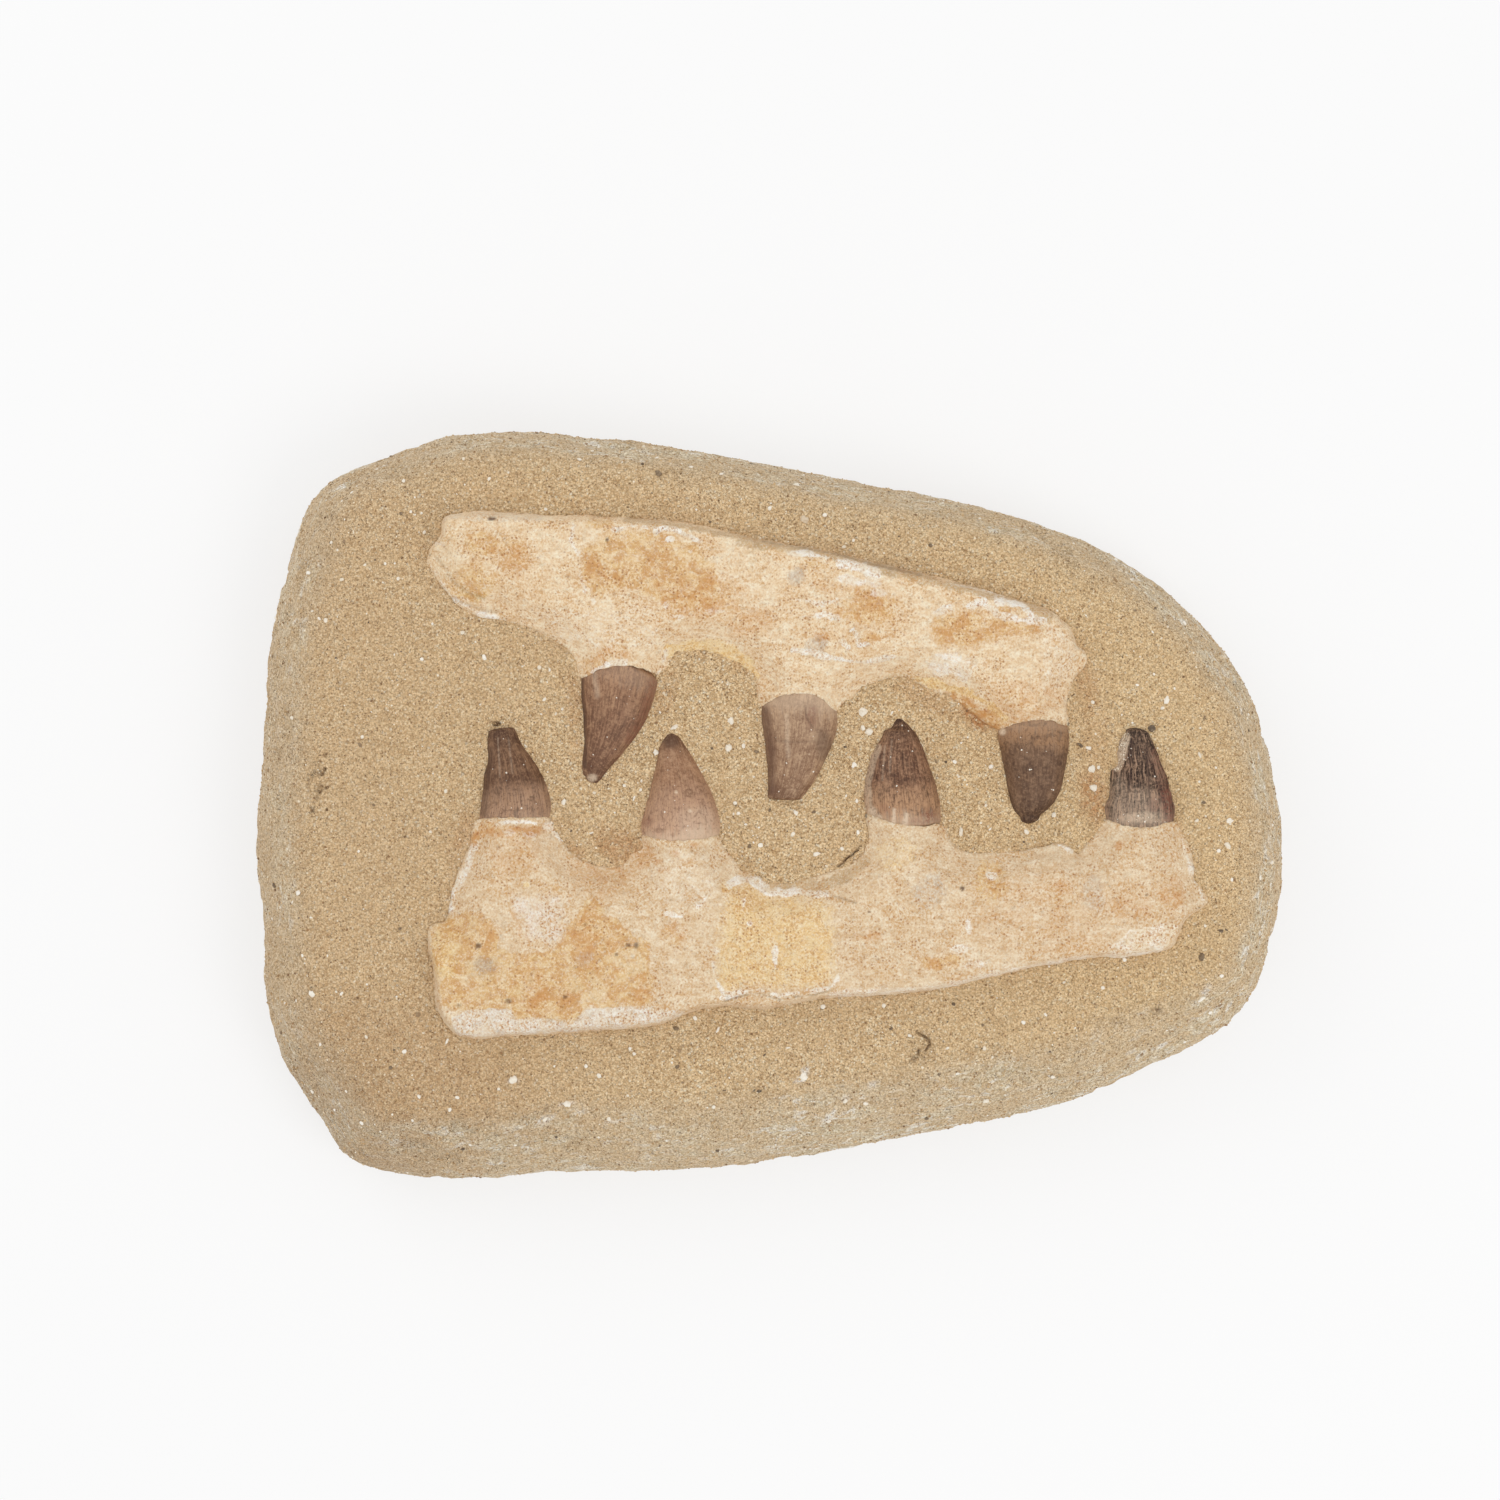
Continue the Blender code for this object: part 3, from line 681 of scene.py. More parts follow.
def drop_flank(bm, widest, inwards, inset):
    """The flank, ring by ring from the shoulder down to the underside, with shallow dents in it."""
    profile = smooth_path(FLANK, round(FLANK_LENGTH / FLANK_CELL))
    for height, share, more in profile[1:]:
        raised = np.column_stack((widest, np.full(len(widest), 1.4 * height)))
        free = min(1.0, abs(height - WIDEST_AT) / 5) * min(1.0, height / 4)
        dent = FLANK_SWELL * np.maximum(0, ripple(raised, 24)) * free
        ring = widest + inwards * (inset * share + more + dent)[:, None]
        drop_border(bm, [(x, y, max(height, 0.0)) for x, y in ring])
    close_sole(bm)


def chalk_on_flank(points, normals):
    """How chalky each point of the flank is, by the way it faces, its height and the patches on it."""
    facing = [
        (np.maximum(0, normals[:, :2] @ (x, y)) ** 0.5, most, level) for x, y, most, level in FLANK_CHALK
    ]
    total = sum(share for share, _, _ in facing) + 1e-6
    chalky = sum(share * most for share, most, _ in facing)
    level = sum(share * level for share, _, level in facing) / total
    below = ease(level - points[:, 2] + layered(points, ripple, CHALK_EDGE), -1.0, 1.4)
    patches = ease(layered(points, ripple, CHALK_PATCHES), -0.4, 0.3)
    return below * np.minimum(chalky, 1) * (0.25 + 0.75 * patches)


def make_sand(bones, crowns, material):
    widest, inwards, inset = block_columns()
    shoulder = widest + inwards * (inset + FLANK[0][2])[:, None]
    bm = sheet_cut_to(shoulder, SAND_CELL)
    close = np.max([reach(crack[0], coordinates(bm)) for crack in CRACKS], 0) > -CRACK_MARGIN
    cracked = {vert for vert, near in zip(bm.verts, close) if near and not vert.is_boundary}
    finer = [edge for edge in bm.edges if cracked.issuperset(edge.verts)]
    bmesh.ops.subdivide_edges(bm, edges=finer, cuts=3, use_grid_fill=True)
    number_border(bm, shoulder)
    bed_the_sand(bm, bones, crowns, shoulder)
    drop_flank(bm, widest, inwards, inset)

    bm.normal_update()
    points = coordinates(bm)
    normals = np.array([vert.normal[:] for vert in bm.verts])
    on_flank = ease(SHOULDER_HEIGHT + 0.3 - points[:, 2], -0.6, 3.0)
    rough = layered(points, ripple, SAND_CRUST)
    broken = layered(points, ripple, FLANK_BEDS) + layered(points, flakes, FLANK_CHIPS)
    stains, relief = lay_marks(points, SAND_MARKS, SAND_STAINS, wandering(points, 37))
    cracks, carved = lay_marks(points, CRACKS, SAND_STAINS, 0.5 * wandering(points, 39))
    stains = {name: np.maximum(values, cracks[name]) for name, values in stains.items()}
    # Brown band on the sand beside the bones, put into the rust stain: partly rust, partly painted shade at
    # the bone's foot
    beside = -np.max([depth_inside(loop, points) for loop in bones], 0)
    browned = BROWN_MOST * np.exp(-((np.maximum(beside, 0) / BROWN_WIDTH) ** 2))
    browned *= ease(ripple(points, 9, 53), -0.5, 0.4)
    stains["rust"] = np.maximum(stains["rust"], browned * (1 - on_flank))
    bed = (points[:, 2] < MATRIX_TOP - BED_DEPTH + 0.5) & (normals[:, 2] > 0.9)
    held = bed | (points[:, 2] < 0.05)
    shift = np.where(held, 0, rough + (relief + carved) * (1 - on_flank) + broken * on_flank)
    for vert, normal, amount in zip(bm.verts, normals, shift):
        vert.co += Vector(normal) * float(amount)
        vert.co.z = max(vert.co.z, 0.0)

    stains["chalk"] = np.maximum(stains["chalk"], chalk_on_flank(points, normals))
    stains["flank"] = on_flank
    return finish_piece("sand_matrix", bm, material, ["matrix_block"], stains)


# Bones

BONE_STAINS = ("ochre", "rust", "chalk", "grey", "sandy", "yellow", "dark")
UPPER_MARKS = [
    # Left end: yellow, flaked, with a white lip below, and painted shade in the grooves between the flakes
    mark(region((-102, 66), (-92, 66), (-92, 88), (-102, 88)), fringe=5, yellow=0.3, grey=0.3),
    mark(stroke(1.5, (-100.8, 70.6), (-98.7, 67.3), (-98.1, 64.6), (-94.2, 61.9), (-89.1, 58.7),
        (-83.7, 56.8), (-80.5, 55.9)), 0.3, 1.8, chalk=0.6),
    mark(stroke(0.8, (-100.5, 75), (-97.3, 70.8), (-95.5, 67.5), (-91, 64.2),
        (-86, 62.4)), -0.6, 0.5, dark=0.22),
    mark(stroke(0.7, (-96, 62.8), (-91, 60.6), (-86, 58.8), (-81, 58.6)), -0.5, 0.5, dark=0.18),
    mark(stroke(0.9, (-102, 79.5), (-98.2, 78.4), (-96, 75.2)), -0.6, 0.5, chalk=0.5),
    mark(stroke(1.5, (-93.6, 64), (-89.1, 62.6), (-85.2, 63.4)), yellow=0.8),
    mark(blot(-76.8, 75.4, 5.5), rust=0.4, ochre=0.45),
    mark(blot(-83.5, 86.4, 1.2, 0.6), -0.4, dark=0.9),
    mark(stroke(4, (-98, 87), (-85, 87.5), (-70, 87)), fringe=2, grey=0.4),
    *ovals("ochre", (-87, 79.6, 5.9, 3.3, 0.65), (-89.7, 67.3, 7.8, 5.2, 0.7)),
    # The ochre patch and its rusty foot
    mark(region((-57.1, 75), (-53.9, 79), (-46.7, 82), (-37, 83.4), (-30.4, 81.5), (-21.3, 79), (-17, 72),
        (-14, 62), (-20, 58.5), (-30, 60), (-37, 64), (-44.8, 66), (-50.6, 61.3), (-54, 63.3),
        (-56.5, 69.8)), 0.15, 3.0, ochre=0.7),
    mark(stroke(4, (-54.5, 72.4), (-48, 67.8), (-40.2, 67.8), (-33.7, 67.2)), fringe=4, ochre=1, rust=0.45),
    mark(blot(-20.7, 62.6, 13, 7), rust=0.6, ochre=0.35),
    mark(blot(-5.7, 55.5, 6.5, 5), rust=0.45, ochre=0.2),
    mark(stroke(1.4, (-59, 84.7), (-59.7, 79.5), (-57.1, 75), (-57.1, 70.4), (-55.8, 65.2),
        (-52.6, 61.3)), 0.2, chalk=0.5),
    mark(blot(-55.7, 64.9, 1, 1.3), 0.2, chalk=1),
    mark(blot(-29.8, 80.2, 1.3, 0.8), 0.2, chalk=1),
    mark(stroke(1.2, (-46.7, 82.8), (-42.2, 84.2), (-37, 83.8)), 0.2, chalk=0.7),
    mark(stroke(1.6, (-34.3, 82.5), (-32.4, 83.6), (-29.1, 83.4), (-25.2, 81.5),
        (-21.3, 79.5)), 0.6, 0.8, chalk=1),
    mark(blot(-48.9, 80, 0.5), -0.3, dark=0.9),
    mark(stroke(3, (-43.5, 86), (-30, 85), (-15, 82), (0, 79.4)), fringe=2, sandy=0.7),
    mark(stroke(0.5, (-4.1, 54.5), (-4.4, 50.3)), -0.2, dark=0.12, rust=0.6),
    mark(blot(-52, 85, 4.5, 1.8), ochre=0.6),
    mark(blot(-33, 72, 11, 5), rust=0.22),
    *ovals("chalk", (-23.9, 76.6, 1.2, 0.6, 0.8), (-31.2, 60, 0.8, 1, 0.7), (-16.5, 58.4, 3, 0.8, 0.5),
        (-27.2, 56.8, 2.2, 0.7, 0.5)),
    # Round the first crown, and the yellow edge of the bay beside it
    mark(stroke(4, (-29.8, 46.4), (-25.2, 48.3), (-20, 48.6), (-15.5, 47.7), (-10.9, 45.7), (-7, 42.5),
        (-4.4, 39.2)), fringe=3, yellow=0.95, ochre=0.35),
    mark(stroke(1.5, (-31.1, 46.4), (-32.4, 42.5), (-33.7, 39.9)), chalk=0.6),
    mark(blot(-53.5, 43, 4, 3.5), rust=0.25, ochre=0.4),
    mark(stroke(2.4, (-55.5, 42.6), (-50, 46), (-43, 45.8)), fringe=2.5, rust=0.6),
    mark(stroke(1.3, (-53.2, 40.5), (-50.6, 41.8), (-46.7, 43), (-43.5, 43.2)), 0.2, chalk=1),
    mark(region((-73, 61), (-50, 60), (-35, 62), (-30, 56), (-32, 47), (-48, 45.5), (-60, 48),
        (-70, 55)), fringe=5, chalk=0.3),
    # Middle
    mark(stroke(1.6, (6, 75.8), (11, 76.3), (17, 74.6)), 0.3, chalk=0.85),
    mark(stroke(2.5, (21.3, 73.2), (27.5, 71.8), (31.6, 69.4)), 0.3, chalk=0.9),
    mark(blot(26, 67.6, 6, 1.3, -12), chalk=0.7),
    mark(blot(29.6, 59.7, 8.5, 6), ochre=0.75, rust=0.55),
    mark(stroke(2.2, (13.7, 66.6), (22, 65.2), (29.6, 64.5)), rust=0.5, ochre=0.3),
    mark(blot(33.5, 64, 3.5, 1.4), 0.2, chalk=0.7),
    mark(stroke(1.6, (8.2, 62), (15, 61), (20, 62)), chalk=0.5),
    mark(stroke(1.5, (9.6, 57), (18, 57.5), (20.6, 56)), chalk=0.5),
    mark(stroke(1.1, (24, 52.8), (25.4, 53.5), (26.1, 50.8), (26.8, 48.4), (29.6, 48.7)), 0.6, chalk=1),
    mark(stroke(1.1, (21.6, 49.4), (23.7, 47.3)), 0.35, chalk=1),
    mark(blot(30.6, 50.8, 3.4, 1.5), ochre=0.7, rust=0.3),
    mark(stroke(1.3, (7.2, 47), (13.7, 45.6), (20.6, 44.2), (27.5, 43.2), (33.7, 44.2),
        (37.1, 45.3)), 0.6, 0.9, chalk=1),
    mark(blot(13.5, 72, 3.5, 2.5), ochre=0.4),
    *ovals("grey", (8.2, 68.7, 2.7, 2.7, 0.7), (13.4, 48.7, 3, 2, 0.7)),
    mark(blot(15.1, 51.5, 2, 1.4), rust=0.5),
    # The orange patch, and the white flakes over it
    mark(region((48.2, 55.6), (50.9, 57), (56.4, 57.7), (59.9, 58.7), (64, 58.3), (68.8, 57), (73.7, 55.6),
        (80.5, 54.2), (82.6, 52.8), (79.2, 51.5), (72.3, 50.8), (64, 49.4), (57.1, 47.7), (51.6, 48),
        (48.9, 51.5)), -0.25, 6.0, ochre=0.8, rust=0.35),
    mark(blot(53, 59.6, 4, 1.6, 20), 0.2, chalk=0.6),
    mark(stroke(2.4, (59.9, 60.4), (62.6, 61.4), (66.1, 59.7), (67.5, 57.7)), 0.35, chalk=0.95),
    mark(stroke(1.8, (68.1, 61.4), (73.7, 61.1), (76.4, 59.7), (79.9, 56.3),
        (81.9, 55.6)), 0.35, chalk=0.9),
    mark(stroke(1.8, (67.5, 57.7), (72.3, 56.6), (76.4, 55.6), (82, 55.6)), 0.35, chalk=0.9),
    mark(region((82.6, 57), (88.8, 52.1), (92.9, 49.4), (94.3, 44.6), (92.3, 40.4), (89.5, 37.7),
        (87.4, 33.5), (82, 36), (80, 45)), 0.1, 5.0, chalk=0.32),
    mark(blot(54, 43, 8, 4.2), chalk=0.5, grey=0.3),
    mark(blot(76.5, 32, 11, 5), rust=0.45, ochre=0.2),
    mark(stroke(3, (56, 33), (60, 30.4), (64, 27.8), (68.5, 24.4)), fringe=3, ochre=0.8, rust=1),
    mark(stroke(2, (59, 29.6), (63, 27), (67.5, 23.8)), fringe=2.5, ochre=1, rust=1, dark=0.16),
    mark(stroke(2, (44.7, 38.4), (53, 36), (59.9, 33.9), (66.1, 30.8),
        (70.9, 26.7)), yellow=0.8, ochre=0.35),
    mark(blot(70, 59, 2.4, 1), ochre=0.8),
    mark(blot(57.5, 40.5, 4, 2.6), chalk=0.6),
    mark(blot(74.8, 27, 3, 2), rust=0.6),
    # The tan ledge along the far edge, and the groove above it with painted shade in it
    mark(stroke(3.5, (-9, 79.4), (4.8, 78.3), (18.6, 75.6), (32.3, 71.8), (43.4, 69.4), (53, 66.3),
        (59.9, 65.2), (70.2, 63.2), (77.1, 60.4), (84, 57)), fringe=2, sandy=0.85),
    mark(stroke(0.8, (51.6, 67.3), (59.9, 65.9), (70.2, 63.9)), 0.2, chalk=0.5),
    mark(stroke(0.7, (-2.1, 79.7), (18.6, 76.3), (32.3, 72.5), (45.4, 69.7)), -0.5, dark=0.4),
]
PLATE = region(
    (-9, -22.7), (-5.3, -22.7), (-1.7, -25.5), (2.9, -26.4), (7.5, -25.9), (12.1, -26.8), (16.7, -26.8),
    (19, -30), (20, -40), (20.4, -52), (18.5, -54), (13, -55.3), (7.5, -55.8), (2.9, -56.7),
    (-3.5, -54.9), (-9, -55.8), (-13.8, -57.9), (-16.3, -56), (-17.3, -52.8), (-17, -49), (-16.6, -40),
    (-14, -28), (-12, -23.5),
)
LOWER_MARKS = [
    # Under the first crown
    mark(stroke(3.2, (-89.4, -10.2), (-87, -8.2), (-84.6, -6.6),
        (-82.5, -6.4)), fringe=2, rust=0.95, ochre=0.5),
    mark(stroke(3.0, (-84.5, -7.4), (-77, -7.8), (-70.5, -7.2)), fringe=1.6, rust=0.8, ochre=0.3),
    mark(stroke(1.1, (-82, -5.4), (-79.5, -4.8), (-76.9, -4.6), (-73, -4.7),
        (-70.3, -5.3)), 0.15, 0.5, chalk=1),
    mark(blot(-72, -8.4, 1.8, 1), chalk=0.6, grey=0.4),
    mark(blot(-66.7, -6, 1.8, 1.5), chalk=0.6, rust=0.2),
    mark(stroke(2.6, (-88.1, -11.8), (-90, -13.7), (-91, -18.2), (-93.2, -22.7), (-95.8, -25.9),
        (-96.8, -31)), chalk=0.7, grey=0.4),
    mark(stroke(1.4, (-65.3, -5.4), (-64.4, -7.5), (-62.8, -10)), chalk=0.7, grey=0.3),
    mark(blot(-50, -21, 9, 6), fringe=6, sandy=0.4, rust=0.45, ochre=0.2),
    mark(blot(-78.5, -8, 1.4, 0.9), chalk=0.6),
    # The ochre plate at the left, broken off above the pale side
    mark(region((-102.2, -36.1), (-99.7, -34.9), (-96.5, -34.5), (-92, -31.7), (-87.5, -31.7),
        (-84.3, -34.2), (-81.7, -38.1), (-82.4, -42.6), (-77.9, -43.8), (-73.4, -45.1), (-67.6, -43.8),
        (-62.5, -40.6), (-59.9, -34.9), (-56.1, -29.7), (-54.2, -26.5), (-50.3, -31), (-45.8, -34.2),
        (-42.6, -37.4), (-36.2, -41.3), (-35.9, -49), (-35.9, -59.2), (-39.4, -59.9), (-44.5, -59.2),
        (-47.7, -60.5), (-55.4, -60.5), (-58.6, -64.3), (-65, -63.7), (-70.2, -63.4), (-75.9, -64),
        (-78.5, -60.5), (-82.4, -61.1), (-90.7, -60.8), (-95.8, -61.8), (-98.4, -60.5),
        (-100.9, -49)), 0.3, 1.4, ochre=0.92),
    mark(blot(-85.6, -48.3, 4, 3), fringe=4, grey=0.5, dark=0.14),
    mark(blot(-55.4, -45.1, 3.2, 2.5), grey=0.5, rust=0.3),
    mark(blot(-61.5, -57.3, 0.7, 0.5), -0.2, dark=0.75),
    mark(blot(-42.6, -41.6, 0.8, 0.6), -0.2, dark=0.75),
    mark(blot(-40.1, -41.6, 0.6, 0.8), -0.2, dark=0.75),
    mark(blot(-97, -43, 5, 9), yellow=0.6),
    *ovals("rust", (-85.6, -38, 4, 3, 0.5), (-70.5, -55.4, 3.5, 7, 0.55), (-55.7, -39.3, 4, 7.5, 0.55),
        (-46, -40.6, 4, 3, 0.4), (-37.8, -54.7, 2.5, 5, 0.5), (-61.5, -57.3, 3.5, 2.2, 0.5)),
    *ovals("dark", (-78.5, -58.3, 0.8, 0.6, 0.6), (-55.4, -35.4, 0.7, 0.7, 0.45),
        (-87.6, -41.8, 0.6, 0.6, 0.8), (-46.1, -44.6, 0.5, 0.5, 0.7), (-93.6, -59.9, 0.8, 0.6, 0.45)),
    mark(blot(-41.3, -44.8, 1), grey=0.6),
    # White bone between crowns and plate
    mark(region((-77.9, -26.5), (-67.6, -25.9), (-59.9, -27.8), (-61.2, -34.9), (-62.5, -40),
        (-66.3, -42.6), (-74, -40), (-75.3, -34.2),
        (-77.9, -31.7)), fringe=6, chalk=0.5, grey=0.4, rust=0.2),
    mark(stroke(1.5, (-77.9, -31.7), (-75.3, -34.2), (-74.7, -38.7)), rust=0.5),
    mark(blot(-73.4, -23.7, 1.6, 1), yellow=0.8, ochre=0.5),
    mark(region((-96.5, -63.7), (-93.2, -69.5), (-77.9, -69.1), (-58.6, -67.9), (-42, -66.9), (-33, -65),
        (-26.6, -63.7), (-25.3, -61.8), (-35.6, -59.9), (-45.8, -60.5), (-54.8, -60.5), (-59.3, -64.7),
        (-70.2, -63.4), (-75.9, -64), (-79.1, -60.8), (-90.7, -61.1)), fringe=1.2, chalk=0.45, grey=0.55),
    mark(blot(-64.3, -24.3, 1.4, 1.2), ochre=0.9),
    mark(blot(-76, -15, 9, 6), rust=0.3),
    # Below the second crown, with old tool marks
    mark(blot(-39.4, -15, 4), rust=0.5, ochre=0.3),
    mark(stroke(1, (-21.5, -29.7), (-19.5, -27.8)), chalk=0.8),
    mark(stroke(1.3, (-31, -32.3), (-26.6, -33.3), (-25.3, -31.7)), chalk=0.7),
    mark(stroke(0.7, (-7.7, -27.8), (-8, -31)), chalk=0.7),
    mark(blot(-29.8, -39.3, 3.5, 4.5), rust=0.5, ochre=0.4),
    *ovals("rust", (-31.8, -19.2, 1.5, 1, 0.6), (-22.7, -11.4, 1.2, 0.8, 0.7), (-28.5, -14, 1.3, 0.9, 0.7),
        (-24.6, -16.3, 1.1, 0.8, 0.6), (-33.7, -16.6, 1.2, 0.8, 0.6)),
    *ovals("chalk", (-26, -22, 13, 12, 0.3), (-16.3, -43.2, 1, 1, 0.6), (-6.4, -35.3, 1, 0.8, 0.9)),
    # The plate in the middle, with its white crest and torn lower edge, and a thin painted shadow under that
    # edge
    mark(PLATE, 0.5, 5.0),
    mark(PLATE, fringe=9, ochre=0.32, yellow=0.55, chalk=0.2),
    mark(stroke(1.2, (-17.2, -47), (-16.4, -52), (-14.2, -56)), 0.25, chalk=0.7),
    mark(stroke(1.7, (-13.8, -57.5), (-9, -55.9), (-3.5, -55.1), (2.9, -56.9), (7.5, -56), (13, -55.5),
        (18.5, -54.2), (20.4, -51.5)), 0.25, chalk=1),
    mark(stroke(0.5, (-13.8, -58.6), (-9, -57), (-3.5, -56.1), (2.9, -58), (7.5, -57.1), (13, -56.6),
        (18.5, -55.3)), -0.4, dark=0.45),
    mark(stroke(1.8, (-12, -23.6), (-9, -22.2), (-6, -21.9), (-3, -24), (0, -26), (4, -26), (8, -25.6),
        (12, -26.4), (17, -26.5)), 0.4, chalk=0.95),
    mark(blot(-12.5, -24.6, 3.4, 1.6), ochre=0.6, yellow=0.6),
    mark(stroke(3.5, (-5, -21.5), (2, -23.8), (10, -24.2), (17, -23.4), (24, -20.5),
        (29, -16.5)), fringe=1.6, sandy=0.8),
    mark(stroke(0.5, (18.5, -26.8), (26, -29.1)), -0.3, dark=0.4),
    mark(stroke(1.6, (1.3, -42.5), (1.6, -48.9)), chalk=0.8),
    mark(blot(-7, -29, 5, 2.5), ochre=0.5),
    # Right half
    mark(blot(84, -32, 26, 12), fringe=12, rust=0.22),
    mark(blot(48.4, -25.5, 6, 7), grey=0.5, chalk=0.2),
    mark(blot(66.3, -22.7, 5.5, 7.5), ochre=0.5, yellow=0.35),
    mark(blot(51.2, -47, 6, 2.3), ochre=0.75, rust=0.3),
    mark(blot(67.2, -20.9, 1.8, 1.2), 0.2, chalk=1),
    mark(stroke(1, (85.6, -11.2), (88.3, -12.2), (91.1, -14)), chalk=0.8),
    mark(stroke(1, (59.4, -34.6), (59.9, -38.3)), chalk=0.7),
    mark(blot(57.6, -42.4, 3.5, 1.5), chalk=0.6, yellow=0.3),
    mark(blot(121, -26.4, 4, 4.5), rust=0.65, ochre=0.3),
    mark(region((107.2, -36.5), (113.1, -35.6), (123.2, -35.1), (122.3, -38.3), (119.6, -42.9),
        (110.4, -43.4), (101, -43.8), (106, -39)), 0.3, 1.2, chalk=0.5, yellow=0.45),
    # Pale band on the steep wall along the lower jaw's outer edge: partly pale bone, partly painted light
    # that lifts the wall's shade
    mark(stroke(3, (18.5, -56.7), (49.8, -54.9), (70, -49.8), (92, -46.6),
        (117.7, -43.4)), chalk=0.5, yellow=0.35),
    mark(stroke(1.5, (124.2, -9.9), (126.9, -19), (129.7, -25.5), (130.6, -28.2)), chalk=0.5),
    mark(blot(38, -14, 8, 6), yellow=0.35),
    mark(blot(97.5, -25.5, 3.5, 7.5), grey=0.55),
    *ovals("rust", (30, -38.8, 3.2, 1.5, 0.4), (87.4, -24.5, 3.5, 2, 0.6), (104.9, -11.7, 1.2, 1.4, 0.85),
        (108, -29.5, 7, 5, 0.45)),
    mark(blot(61, -47.5, 4.5, 1.5), chalk=0.45),
    *ovals("dark", (57.8, -24.7, 0.5, 0.5, 0.9), (29.8, -31.7, 0.4, 0.4, 0.9),
        (113.1, -26.6, 0.4, 0.4, 0.9)),
]
# Height, wavelength and seed of the flakes on a bone, with their level and edge, and of its ripples
BONE_FLAKES = ((0.32, 13, 63), (0.25, 6, 65, 0.2), (-0.35, 8, 67, 0.3), (-0.4, 1.6, 69, 0.5, 0.1))
BONE_GRAIN = (
    (0.25, 7, 53), (0.22, 2.8, 57, (1.6, 0.8, 1)), (0.14, 1.3, 59, (1.5, 0.8, 1)),
    (0.16, 1.9, 61, (3.4, 0.6, 1)),
)
COLLAR = 0.15  # how far a bone stands over the foot of a crown
# Height above the sand and inset of the hidden sides of a bone, from its rim down to its sole
BONE_SIDES = ((-0.6, 0.0), (-2.6, 0.3), (-BONE_SOLE, 1.2))


def bone_height(points, loop, crowns, rims):
    """Height of a bone's surface, and how far each point is from a crown and from the gum line.

    It slopes to its rim, more gently on the side of the crowns, and is flush with them where they leave it.
    """
    at_crown = np.zeros(len(loop), bool)
    most = np.full(len(points), np.inf)
    least = np.zeros(len(points))
    nearby = np.full(len(points), np.inf)
    for crown in crowns:
        arc = smooth_path(crown.base_arc(), 80)
        away = nearest(arc, points)[1]
        at_crown |= nearest(arc, loop)[1] < 0.9
        aside, half, foot = crown.base_arch(points)
        held = np.minimum(aside, 0.94 * half)
        arch = foot + CROWN_DEPTH * np.sqrt(half**2 - held**2) + 2.2 * (aside - held)
        most = np.minimum(most, arch + COLLAR + 0.8 * away)
        arch = foot + CROWN_DEPTH * np.sqrt(np.maximum(half**2 - aside**2, 0))
        collar = arch + COLLAR - 0.3 * np.maximum(away - 0.8, 0) - 0.8 * np.maximum(away - 2, 0)
        least = np.maximum(least, np.where(aside < half, collar, 0))
        nearby = np.minimum(nearby, away)
    rim = loop[~at_crown]
    to_tips = crowns[0].axis[1] * outward(loop)[~at_crown][:, 1] > 0.3
    uneven = 1 + 0.25 * ripple(points, 14, 71)
    gum_line = nearest(rim[to_tips], points)[1]
    far_side = nearest(rim[~to_tips], points)[1]
    share = np.minimum(gum_line / (rims[0] * uneven), 1)
    gentle = 0.55 * np.sin(share * math.pi / 2) + 0.45 * ease(share, 0, 1)
    steep = np.sin(np.minimum(far_side / (rims[1] * uneven), 1) * math.pi / 2)
    flat = np.column_stack((points[:, :2], np.full(len(points), 5.0)))
    above_rim = (BONE_CROWN - BONE_EDGE + BONE_LUMPS * ripple(flat, 18)) * np.minimum(gentle, steep)
    height = MATRIX_TOP + BONE_EDGE + above_rim
    return np.maximum(np.minimum(height, most), least), nearby, gum_line


def make_bone(name, loop, crowns, rims, marks, node, material):
    bm = sheet_cut_to(loop, BONE_CELL)
    number_border(bm, loop)
    points = coordinates(bm)
    heights, nearby, gum_line = bone_height(points, loop, crowns, rims)
    stains, relief = lay_marks(points, marks, BONE_STAINS, wandering(points, 51))
    relief += layered(points, flakes, BONE_FLAKES) + layered(points, ripple, BONE_GRAIN)
    calm = 0.1 + 0.9 * ease(nearby, 0.3, 2.5)
    for vert, height in zip(bm.verts, heights + relief * calm):
        vert.co.z = height
    sanded = 0.4 * (1 - ease(gum_line + 0.7 * wandering(points, 73), 0.2, 1.8)) * ease(nearby, 0.5, 3)
    stains["sandy"] = np.maximum(stains["sandy"], sanded)
    number = bm.verts.layers.int.new("number")  # the points down the side take it from the rim's
    for i, vert in enumerate(bm.verts):
        vert[number] = i
    for level, inset in BONE_SIDES:
        drop_border(bm, [(x, y, MATRIX_TOP + level) for x, y in loop - outward(loop) * inset])
    close_sole(bm)
    numbers = [vert[number] for vert in bm.verts]
    stains = {stain: values[numbers] for stain, values in stains.items()}
    return finish_piece(name, bm, material, [node], stains)


# Dressing of the crowns

